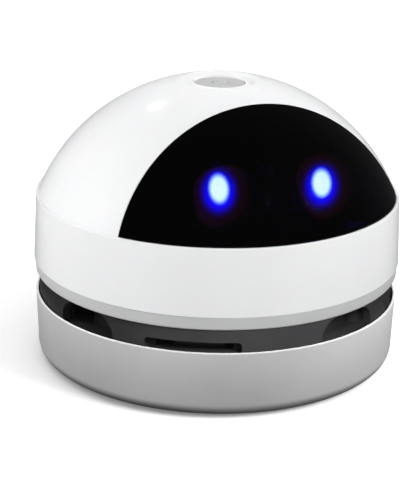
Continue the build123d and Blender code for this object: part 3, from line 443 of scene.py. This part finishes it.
# ---------------------------------------------------------------- button and spring
def make_button():
    """Button: a cap with a flange round its foot and the power sign engraved in its face."""
    cap_r, cap_bore, cap_thick, cap_edge = 5.95, 4.9, 1.85, 0.3
    flange_r, flange_top, flange_foot = 7.2, face_z - 3.05, face_z - 3.75
    button = lathe("button_cap", rounded([
        (0, face_z - cap_thick), (cap_bore, face_z - cap_thick),
        (cap_bore, flange_foot), (flange_r, flange_foot), (flange_r, flange_top), (cap_r, flange_top),
        (cap_r, face_z, cap_edge), (0, face_z),
    ], 6), segments=128)
    sign_depth, ring_in, ring_out, above = 0.15, 1.7, 2.1, 0.5
    gap_half, gap_foot, gap_top, past = 0.64, 0.2, 3.0, 1
    bar_width, bar_length, bar_corner, bar_y, bar_rise = 0.4, 2.6, 0.18, 1.3, 1
    sign_floor, sign_top = face_z - sign_depth, face_z + above
    ring_cut = lathe("sign_ring", [
        (ring_in, sign_floor), (ring_out, sign_floor), (ring_out, sign_top), (ring_in, sign_top),
    ], segments=96)
    gap = [(-gap_half, gap_foot), (gap_half, gap_foot), (gap_half, gap_top), (-gap_half, gap_top)]
    cut(ring_cut, [prism("sign_gap", gap, Matrix.Translation((0, 0, face_z - past)), 2 * past)])
    bar = round_rectangle(bar_width, bar_length, bar_corner, 4)
    bar_cut = prism("sign_bar", bar, Matrix.Translation((0, bar_y, sign_floor)), bar_rise)
    cut(button, [ring_cut, bar_cut])
    smooth_by_angle(button, 30)
    return button


def make_spring():
    """Coil of round wire under the button's cap."""
    coil_r, wire_r, turns, turn_steps, sides = 2.6, 0.175, 3, 60, 12
    rise, steps = spring_height - 2 * wire_r, turns * turn_steps
    rings = []
    for c in range(steps + 1):
        theta = 2 * math.pi * c / turn_steps
        middle = spring_top - spring_height + wire_r + rise * c / steps
        ring = []
        for k in range(sides):
            a = 2 * math.pi * k / sides
            r = coil_r + wire_r * math.cos(a)
            ring.append((r * math.cos(theta), r * math.sin(theta), middle + wire_r * math.sin(a)))
        rings.append(ring)
    return make_object("return_spring", *tube(rings))


# ---------------------------------------------------------------- eyes
def make_lens(word, side, back_y, front_y):
    """Oval light diffuser with a rounded rim and a flat front."""
    half_width, half_height, steps = 3.2, 4.4, 64
    # share of the half sizes, and share of the way from back to front
    profile = [
        (0.0, 0.0), (1.0, 0.0), (1.0, 0.86), (0.992, 0.94),
        (0.975, 0.985), (0.95, 1.0), (0.5, 1.0), (0.0, 1.0),
    ]
    columns = []
    for c in range(steps):
        angle = 2 * math.pi * c / steps
        columns.append([
            (side * eye_spread + half_width * math.cos(angle) * share, back_y + (front_y - back_y) * depth,
             eye_z + half_height * math.sin(angle) * share) for share, depth in profile])
    return make_object(f"light_window_{word}", *strip(columns, True))


def make_bezel(word, side, front_y):
    """Disc round the lens, just behind its front, which carries the eye's painted light round the lens."""
    disc_r, back, thickness, half_steps = 4.95, 0.8, 0.5, 32
    outline = circle(disc_r, [math.pi * k / half_steps for k in range(2 * half_steps)])
    middle = Matrix.Translation((side * eye_spread, front_y + back, eye_z))
    return prism(f"light_bezel_{word}", outline, middle @ Matrix.Rotation(math.pi / 2, 4, "X"), thickness)


# ---------------------------------------------------------------- brush tufts
def fibre_rings(row, tuft, fibre, fibres):
    """Rings of points from root to tip of one fibre, set in its tuft's spiral and leaning its own way."""
    row_y, tuft_pitch, middle_tuft, tuft_r = 9.5, 3.0, 6, 0.72
    fibre_r, sides, sway, golden_turn = 0.07, 5, 0.10, 2.399963
    levels = ((2.0, 0.0), (1.0, 0.4), (0.16, 1.0))  # height, share of the sway
    turn = fibre * golden_turn
    out = tuft_r * math.sqrt((fibre + 0.5) / fibres)
    x = (tuft - middle_tuft) * tuft_pitch + out * math.cos(turn)
    y = row * row_y + out * math.sin(turn)
    sway_x, sway_y = sway * math.cos(turn * 1.7), sway * math.sin(turn * 2.3)
    circle_points = [
        (fibre_r * math.cos(2 * math.pi * k / sides), fibre_r * math.sin(2 * math.pi * k / sides))
        for k in range(sides)]
    rings = []
    for height, share in levels:
        middle_x, middle_y = x + sway_x * share, y + sway_y * share
        rings.append([(middle_x + across, middle_y + along, height) for across, along in circle_points])
    return rings


def make_fibres():
    """Two rows of brush tufts as separate fibres."""
    tufts, fibres = 13, 19
    verts, faces = [], []
    for row in (-1, 1):
        for tuft in range(tufts):
            for fibre in range(fibres):
                fibre_verts, fibre_faces = tube(fibre_rings(row, tuft, fibre, fibres))
                faces += [tuple(len(verts) + i for i in face) for face in fibre_faces]
                verts += fibre_verts
    return make_object("brush_fibres", verts, faces, merge=0.00001)


# ---------------------------------------------------------------- material helpers
def new_material(name):
    """Material with its tree, its shader and a source of coordinates."""
    material = bpy.data.materials.new(name)
    material.use_nodes = True
    tree = material.node_tree
    shader = tree.nodes["Principled BSDF"]
    coords = tree.nodes.new("ShaderNodeTexCoord")
    return material, tree, shader, coords


def noise_node(tree, coords, size_mm, detail=3.0, stretch=(1, 1, 1)):
    """Noise whose features are about size_mm large."""
    mapping = tree.nodes.new("ShaderNodeMapping")
    mapping.inputs["Scale"].default_value = stretch
    noise = tree.nodes.new("ShaderNodeTexNoise")
    noise.inputs["Scale"].default_value = METRE / size_mm
    noise.inputs["Detail"].default_value = detail
    tree.links.new(coords.outputs["Object"], mapping.inputs["Vector"])
    tree.links.new(mapping.outputs["Vector"], noise.inputs["Vector"])
    return noise


def ramp_node(tree, source, low, high, start=0.35, end=0.65):
    """Colour ramp between two colours."""
    ramp = tree.nodes.new("ShaderNodeValToRGB")
    ramp.color_ramp.elements[0].position = start
    ramp.color_ramp.elements[0].color = (*low, 1)
    ramp.color_ramp.elements[1].position = end
    ramp.color_ramp.elements[1].color = (*high, 1)
    tree.links.new(source, ramp.inputs["Fac"])
    return ramp


def range_node(tree, source, low, high, start=0.3, end=0.7):
    """Number that goes from low to high while the source goes from start to end."""
    span = tree.nodes.new("ShaderNodeMapRange")
    span.inputs["From Min"].default_value = start
    span.inputs["From Max"].default_value = end
    span.inputs["To Min"].default_value = low
    span.inputs["To Max"].default_value = high
    tree.links.new(source, span.inputs["Value"])
    return span


def math_node(tree, operation, *sources, kind="ShaderNodeMath"):
    """Calculation on one or two sources."""
    step = tree.nodes.new(kind)
    step.operation = operation
    for source, socket in zip(sources, step.inputs):
        tree.links.new(source, socket)
    return step


def vector_node(tree, operation, *sources):
    return math_node(tree, operation, *sources, kind="ShaderNodeVectorMath")


def bump_node(tree, shader, source, depth_mm):
    """Bumps of a depth on the shader's surface."""
    bump = tree.nodes.new("ShaderNodeBump")
    bump.inputs["Strength"].default_value = 1.0
    bump.inputs["Distance"].default_value = depth_mm * MM
    tree.links.new(source, bump.inputs["Height"])
    tree.links.new(bump.outputs["Normal"], shader.inputs["Normal"])


def set_color(tree, shader, source, low, high, start=0.35, end=0.65):
    """Colour between two by the source."""
    tint = ramp_node(tree, source, low, high, start, end)
    tree.links.new(tint.outputs["Color"], shader.inputs["Base Color"])


def set_gloss(tree, shader, source, low, high):
    """Roughness between two by the source."""
    gloss = range_node(tree, source, low, high)
    tree.links.new(gloss.outputs["Result"], shader.inputs["Roughness"])


# ---------------------------------------------------------------- materials
def moulded(name, color, rough, grain=0.25, depth=0.006, spread=0.03, rough_spread=0.05, **sockets):
    """Moulded plastic: faint mottling, uneven gloss and a fine skin."""
    mottle_size, gloss_size = 14, 5
    material, tree, shader, coords = new_material(name)
    broad = noise_node(tree, coords, mottle_size, 2.0).outputs["Fac"]
    fine = noise_node(tree, coords, grain, 2.0).outputs["Fac"]
    uneven = noise_node(tree, coords, gloss_size, 4.0).outputs["Fac"]
    high = tuple(min(1, c * (1 + spread)) for c in color)
    set_color(tree, shader, broad, tuple(c * (1 - spread) for c in color), high)
    set_gloss(tree, shader, uneven, rough - rough_spread, rough + rough_spread)
    bump_node(tree, shader, fine, depth)
    for socket, value in sockets.items():
        shader.inputs[socket.replace("_", " ")].default_value = value
    return material


def metal(name, color, rough, stretch=(1, 1, 14), grain=0.5, depth=0.003):
    """Metal with fine drawing lines along one axis."""
    material, tree, shader, coords = new_material(name)
    lines = noise_node(tree, coords, grain, 4.0, stretch).outputs["Fac"]
    set_color(tree, shader, lines, tuple(c * 0.86 for c in color), color)
    set_gloss(tree, shader, lines, rough * 0.8, rough * 1.3)
    shader.inputs["Metallic"].default_value = 1.0
    bump_node(tree, shader, lines, depth)
    return material


def board_material():
    """Solder mask over copper tracks."""
    material, tree, shader, coords = new_material("solder_mask")
    cells = tree.nodes.new("ShaderNodeTexBrick")
    cells.inputs["Scale"].default_value = 260
    cells.inputs["Color1"].default_value = (0.012, 0.13, 0.045, 1)
    cells.inputs["Color2"].default_value = (0.016, 0.16, 0.055, 1)
    cells.inputs["Mortar"].default_value = (0.03, 0.26, 0.09, 1)
    cells.inputs["Mortar Size"].default_value = 0.05
    tree.links.new(coords.outputs["Object"], cells.inputs["Vector"])
    tree.links.new(cells.outputs["Color"], shader.inputs["Base Color"])
    shader.inputs["Roughness"].default_value = 0.32
    bump_node(tree, shader, cells.outputs["Fac"], 0.03)
    return material


def mesh_material():
    """Fine woven filter mesh."""
    material, tree, shader, coords = new_material("filter_weave")
    threads = []
    for axis in ("X", "Y"):
        wave = tree.nodes.new("ShaderNodeTexWave")
        wave.bands_direction = axis
        wave.inputs["Scale"].default_value = 500
        tree.links.new(coords.outputs["Object"], wave.inputs["Vector"])
        threads.append(wave.outputs["Fac"])
    weave = math_node(tree, "MAXIMUM", *threads).outputs["Value"]
    set_color(tree, shader, weave, (0.08, 0.08, 0.08), (0.62, 0.62, 0.6), 0.4, 0.8)
    shader.inputs["Roughness"].default_value = 0.85
    bump_node(tree, shader, weave, 0.08)
    return material


def smoked_material():
    """Smoked clear plastic: dark, and polished outside."""
    mottle_size, gloss_size, wave_size = 22, 6, 9
    material, tree, shader, coords = new_material("smoked_plastic")
    broad = noise_node(tree, coords, mottle_size, 1.0).outputs["Fac"]
    uneven = noise_node(tree, coords, gloss_size, 3.0).outputs["Fac"]
    set_color(tree, shader, broad, (0.030, 0.031, 0.034), (0.036, 0.037, 0.040))
    set_gloss(tree, shader, uneven, 0.02, 0.05)
    shader.inputs["Transmission Weight"].default_value = 1.0
    shader.inputs["IOR"].default_value = 1.49
    shader.inputs["Specular IOR Level"].default_value = 0.15
    bump_node(tree, shader, noise_node(tree, coords, wave_size, 1.0).outputs["Fac"], 0.004)
    return material


def glow_layer(tree, coords, side, front_y, shift, half_width, half_height, slant, stops):
    """Colour by distance from an eye's middle, carried back along the line of sight from the front left."""
    across, rise = glow_slope[side]
    side_x, side_z = glow_shift[side]
    middle = Vector((side * eye_spread + side_x + shift[0], front_y, eye_z + side_z + shift[1])) * MM
    offset = vector_node(tree, "SUBTRACT", coords.outputs["Object"])
    offset.inputs[1].default_value = middle
    sight = Vector((across, 1, -rise)).normalized()
    wide = sight.cross(Vector((0, 0, 1))).normalized()
    high = wide.cross(sight)
    axes = (wide * math.cos(slant) + high * math.sin(slant), high * math.cos(slant) - wide * math.sin(slant))
    squares = []
    for axis, half in zip(axes, (half_width, half_height)):
        share = vector_node(tree, "DOT_PRODUCT", offset.outputs["Vector"])
        share.inputs[1].default_value = axis * (METRE / half)
        square = math_node(tree, "MULTIPLY", share.outputs["Value"], share.outputs["Value"])
        squares.append(square.outputs["Value"])
    distance = math_node(tree, "SQRT", math_node(tree, "ADD", *squares).outputs["Value"])
    part = range_node(tree, distance.outputs["Value"], 0, 1, 0, glow_reach)
    glow = ramp_node(tree, part.outputs["Result"], stops[0][1], stops[-1][1], 0, 1)
    for far, light in stops[1:-1]:
        glow.color_ramp.elements.new(far / glow_reach).color = (*light, 1)
    return glow.outputs["Color"]


def glow_material(name, side, front_y, color, rough, layers):
    """Plain plastic with layers of an eye's light over it, the brightest of which shows; on the bezel and the
    cups this glow is painted light.
    """
    grain = 1.2
    material, tree, shader, coords = new_material(name)
    fine = noise_node(tree, coords, grain, 2.0).outputs["Fac"]
    set_color(tree, shader, fine, tuple(c * 0.8 for c in color), color)
    shader.inputs["Roughness"].default_value = rough
    shader.inputs["Specular IOR Level"].default_value = 0.04
    bump_node(tree, shader, fine, 0.008)
    light, *others = [glow_layer(tree, coords, side, front_y, *layer) for layer in layers]
    for other in others:
        light = vector_node(tree, "MAXIMUM", light, other).outputs["Vector"]
    tree.links.new(light, shader.inputs["Emission Color"])
    shader.inputs["Emission Strength"].default_value = glow_power
    return material


white_gloss = moulded(
    "white_gloss_plastic", (0.86, 0.865, 0.87), 0.16, grain=1.6, depth=0.0035, spread=0.008,
    rough_spread=0.03, Subsurface_Weight=0.08, Subsurface_Scale=0.002, Sheen_Weight=0.30,
    Sheen_Roughness=0.35)
grey_satin = moulded("grey_satin_plastic", (0.248, 0.248, 0.249), 0.46, grain=0.30, depth=0.010, spread=0.03)
ring_grey = moulded("ring_grey_plastic", (0.538, 0.541, 0.546), 0.40, grain=0.30, depth=0.006, spread=0.02)
button_grey = moulded("button_grey_plastic", (0.535, 0.538, 0.541), 0.36)
dark_satin = moulded(
    "dark_satin_plastic", (0.024, 0.024, 0.025), 0.50, grain=0.35, depth=0.010, spread=0.10,
    Specular_IOR_Level=0.2)
black_matte = moulded("black_matt_plastic", (0.014, 0.014, 0.015), 0.62, grain=0.30, depth=0.012, spread=0.10)
fan_grey = moulded("fan_grey_plastic", (0.045, 0.045, 0.047), 0.38, grain=0.40, depth=0.008, spread=0.08)
chip_black = moulded("moulded_resin", (0.016, 0.016, 0.018), 0.55, grain=0.18, depth=0.010, spread=0.10)
cell_wrap = moulded("cell_wrap_film", (0.03, 0.12, 0.42), 0.22, grain=3.0, depth=0.02, spread=0.04)
led_resin = moulded("clear_resin", (0.80, 0.80, 0.70), 0.20, grain=0.8, depth=0.004, spread=0.03)
rubber = moulded("pad_rubber", (0.018, 0.018, 0.018), 0.80, grain=0.22, depth=0.02, spread=0.10)
seal_foam = moulded("seal_foam", (0.10, 0.10, 0.10), 0.90, grain=0.45, depth=0.06, spread=0.15)
bristle_nylon = moulded("bristle_nylon", (0.022, 0.022, 0.026), 0.40, grain=0.5, depth=0.004, spread=0.20)
steel = metal("drawn_steel", (0.58, 0.58, 0.59), 0.30)
zinc = metal("zinc_plate", (0.70, 0.71, 0.74), 0.26, (1, 1, 1), 0.8)
bronze = metal("sintered_bronze", (0.55, 0.36, 0.16), 0.45, (1, 1, 1), 0.2, 0.01)
copper = metal("enamelled_copper", (0.62, 0.22, 0.08), 0.30, (1, 1, 6), 0.6, 0.05)
nickel = metal("nickel_plate", (0.62, 0.60, 0.55), 0.24, (6, 1, 1), 0.8)
ferrite = moulded("ferrite", (0.045, 0.044, 0.043), 0.70, grain=0.3, depth=0.02, spread=0.10)
solder_mask = board_material()
filter_weave = mesh_material()
smoked = smoked_material()

# solids that are shown as they are; the light cups get their material with the eyes
NODE_MATERIALS = {
    "exhaust_drum": dark_satin, "motor_deck": black_matte, "motor_can": steel, "motor_end_cap": black_matte,
    "motor_bushes": bronze, "motor_magnets": ferrite, "motor_terminals": nickel, "motor_shaft": steel,
    "motor_armature": steel, "motor_windings": copper, "motor_commutator": copper, "impeller": fan_grey,
    "switch_plunger": black_matte, "switch_body": chip_black,
    "switch_board": solder_mask, "switch_screws": zinc, "battery_cell": cell_wrap, "battery_strips": nickel,
    "battery_cradle": black_matte, "battery_strap": black_matte, "main_board": solder_mask,
    "board_parts": chip_black, "charging_socket": nickel, "socket_tongue": chip_black,
    "led_bracket": black_matte, "led_board": solder_mask, "led_chips": led_resin,
    "led_screws": zinc, "deck_screws": zinc, "case_screws": zinc, "glide_pads": rubber,
    "filter_frame": black_matte, "filter_mesh": filter_weave, "filter_seal": seal_foam,
    "bottom_plate": dark_satin, "plate_screws": zinc, "brush_strips": black_matte,
}


def set_material(obj, material):
    obj.data.materials.clear()
    obj.data.materials.append(material)


for node_name, node_material in NODE_MATERIALS.items():
    set_material(nodes[node_name], node_material)


# ---------------------------------------------------------------- pieces
def dress(obj, body, slot, material, *replaced):
    """Gives a new piece its material, its body and the nodes it stands for."""
    set_material(obj, material)
    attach(obj, body)
    if replaced:
        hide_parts(*replaced)
    return obj


dress(make_visor(), "housing", "smoked_window", smoked, "visor")
dress(make_dome(), "housing", "white_gloss", white_gloss, "dome_shell")
dress(make_spigot(), "housing", "white_gloss", white_gloss)
dress(make_band(), "housing", "white_gloss", white_gloss, "body_band")
dress(make_ring(), "housing", "grey_satin", ring_grey, "trim_ring")
bowl = dress(make_bowl(), "bowl", "grey_satin", grey_satin, "dust_bowl")
# painted shade: the bowl's inside is given black in place of its own grey
paint_bowl_inside_shade(bowl)
dress(make_button(), "button", "button_grey", button_grey, "power_button")
spring = dress(make_spring(), "button", "steel", steel, "button_spring")
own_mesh(spring)

lens_blue, lens_rough = (0.02, 0.02, 0.05), 0.5
# the cups' own maroon, kept very dark so the lens's light barely shows on it; the bezel and the cups glow
# with the eye's light painted on, a painted pool of light
maroon, cup_rough = (0.010, 0.0008, 0.0012), 0.6
for side, word in ((-1, "left"), (1, "right")):
    low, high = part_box(f"eye_lens_{word}")
    back_y, front_y = high.y / MM, low.y / MM
    lens_skin = glow_material(f"lens_{word}_painted_glow", side, front_y, lens_blue, lens_rough, glow_layers)
    bezel_painted_glow = glow_material(f"bezel_{word}_painted_glow", side, front_y, maroon, cup_rough, glow_layers)
    cup_painted_glow = glow_material(f"cup_{word}_painted_glow", side, front_y, maroon, cup_rough, glow_layers[1:])
    dress(make_lens(word, side, back_y, front_y), "housing", "light_blue", lens_skin, f"eye_lens_{word}")
    dress(make_bezel(word, side, front_y), "housing", "cup_maroon", bezel_painted_glow)
    set_material(nodes[f"light_cup_{word}"], cup_painted_glow)

dress(make_fibres(), "bowl", "bristle_dark", bristle_nylon, "brush_tufts")


# ---------------------------------------------------------------- floor and backdrop (m)
def make_screen(name, verts, faces, material):
    """Plain mesh from points in metres."""
    mesh = bpy.data.meshes.new(name)
    mesh.from_pydata(verts, [], faces)
    mesh.materials.append(material)
    screen = bpy.data.objects.new(name, mesh)
    scene.collection.objects.link(screen)
    return screen


def floor_material():
    """Matt white that turns to plain white light away from the object."""
    near, far, near_light = 0.30, 0.70, (0.2, 0.2, 0.2)
    material, tree, shader, coords = new_material("floor_white")
    shader.inputs["Base Color"].default_value = (0.93, 0.93, 0.935, 1)
    shader.inputs["Roughness"].default_value = 0.9
    shader.inputs["Specular IOR Level"].default_value = 0.0
    shader.inputs["Emission Strength"].default_value = 1.0
    distance = vector_node(tree, "LENGTH", coords.outputs["Object"])
    fade = range_node(tree, distance.outputs["Value"], 0, 1, near, far)
    light = ramp_node(tree, fade.outputs["Result"], near_light, (1, 1, 1), 0, 1)
    tree.links.new(light.outputs["Color"], shader.inputs["Emission Color"])
    return material


def backdrop_material():
    material, _, shader, _ = new_material("backdrop_white")
    shader.inputs["Emission Color"].default_value = (1, 1, 1, 1)
    shader.inputs["Emission Strength"].default_value = 1.0
    return material


def sphere(radius, rows, columns):
    """Points and faces of a sphere about the origin."""
    rings = []
    for row in range(rows + 1):
        rise = math.pi * (row / rows - 0.5)
        reach = radius * math.cos(rise)
        height = radius * math.sin(rise)
        turns = [2 * math.pi * column / columns for column in range(columns)]
        rings.append([(reach * math.cos(turn), reach * math.sin(turn), height) for turn in turns])
    return strip(rings, False)


floor_half, backdrop_r = 4, 3.9
floor_corners = [
    (-floor_half, -floor_half, 0), (floor_half, -floor_half, 0),
    (floor_half, floor_half, 0), (-floor_half, floor_half, 0),
]
floor = make_screen("floor", floor_corners, [(0, 1, 2, 3)], floor_material())
backdrop = make_screen("backdrop", *sphere(backdrop_r, rows=24, columns=48), backdrop_material())
for screen in (floor, backdrop):
    screen.visible_diffuse = False
    screen.visible_glossy = False
    screen.visible_transmission = False
    screen.visible_shadow = False


# ---------------------------------------------------------------- lights (m, W)
def light_group(name, objects, state="INCLUDE"):
    """Collection of the objects that a lamp lights, or of those it doesn't."""
    group = bpy.data.collections.new(name)
    for obj in objects:
        group.objects.link(obj)
    for entry in group.collection_objects:
        entry.light_linking.link_state = state
    return group


floor_only = light_group("floor_only", [floor])
bowl_only = light_group("bowl_only", [bowl])
drum_only = light_group("drum_only", [nodes["exhaust_drum"]])
object_only = light_group("object_only", [floor, backdrop], "EXCLUDE")
upper_only = light_group("upper_only", [floor, backdrop, bowl], "EXCLUDE")

world = bpy.data.worlds.new("studio")
scene.world = world
world.use_nodes = True
world.node_tree.nodes["Background"].inputs["Color"].default_value = (1, 1, 1, 1)
world.node_tree.nodes["Background"].inputs["Strength"].default_value = 0.04
world.cycles_visibility.transmission = False

view_turn = -28.0  # degrees from the face round to the camera


def softbox(name, around, height, distance, size, power, lit=object_only, aim=0.03, glossy=False):
    """Square light aimed at the axis, placed by degrees round from the camera and degrees up."""
    data = bpy.data.lights.new(name, "AREA")
    data.size = size
    data.energy = power
    lamp = bpy.data.objects.new(name, data)
    scene.collection.objects.link(lamp)
    turn, rise = math.radians(view_turn + around), math.radians(height)
    reach = distance * math.cos(rise)
    target = Vector((0, 0, aim))
    away = Vector((math.sin(turn) * reach, -math.cos(turn) * reach, math.sin(rise) * distance))
    lamp.location = target + away
    lamp.rotation_euler = (target - lamp.location).to_track_quat("-Z", "Y").to_euler()
    lamp.visible_camera = False
    lamp.visible_glossy = glossy
    lamp.visible_transmission = False
    lamp.light_linking.receiver_collection = lit


# degrees round from the camera, and power
ring_lamps = (
    (0, 1.85), (45, 2.98), (90, 2.22), (135, 4.60), (180, 1.40), (-135, 2.60), (-90, 4.60), (-45, 0.84))
low_lamps = ((0, 1.39), (-120, 0.82), (-60, 0.93))
bowl_lamps = ((-95, 0.085), (-50, 0.080), (0, 0.105), (65, 0.172))
for around, power in ring_lamps:
    softbox(f"ring_{around}", around, height=25, distance=0.8, size=0.45, power=power)
for around, power in low_lamps:
    softbox(f"low_{around}", around, height=-35, distance=0.8, size=0.6, power=power, lit=upper_only)
for around, power in bowl_lamps:
    softbox(
        f"bowl_{around}", around, height=41.4, distance=0.1134, size=0.03, power=power, lit=bowl_only, aim=0)
softbox("drum_side", around=18, height=22, distance=0.12, size=0.03, power=0.16, lit=drum_only)
softbox("spark", around=206, height=39.8, distance=3.0, size=0.22, power=1.4, glossy=True)
softbox("floor_key", around=65, height=30, distance=0.8, size=0.45, power=7.5, lit=floor_only)
softbox("floor_sky", around=0, height=89, distance=1.0, size=3.0, power=35.0, lit=floor_only)


# ---------------------------------------------------------------- camera (m)
def make_camera():
    """Camera fitted to the photo: its place before the turn round the object, its angles and its lens."""
    camera_y, camera_z = -0.38595, 0.1628
    pitch, yaw, roll = math.radians(19.618), math.radians(-0.287), math.radians(1.155)
    focal_pixels, picture_height, sensor_height = 1676.9, 500, 36.0
    forward = Vector((math.sin(yaw) * math.cos(pitch), math.cos(yaw) * math.cos(pitch), -math.sin(pitch)))
    right = Vector((math.cos(yaw), -math.sin(yaw), 0))
    up = right.cross(forward)
    rolled_right = right * math.cos(roll) + up * math.sin(roll)
    rolled_up = up * math.cos(roll) - right * math.sin(roll)
    data = bpy.data.cameras.new("camera")
    data.sensor_fit = "VERTICAL"
    data.sensor_height = sensor_height
    data.lens = focal_pixels * sensor_height / picture_height
    data.clip_start = 0.01
    camera = bpy.data.objects.new("camera", data)
    scene.collection.objects.link(camera)
    look = Matrix((rolled_right, rolled_up, -forward)).transposed().to_4x4()
    place = Matrix.Rotation(math.radians(view_turn), 4, "Z") @ Matrix.Translation((0, camera_y, camera_z))
    camera.matrix_world = place @ look
    return camera


scene.camera = make_camera()
scene.view_settings.view_transform = "Standard"
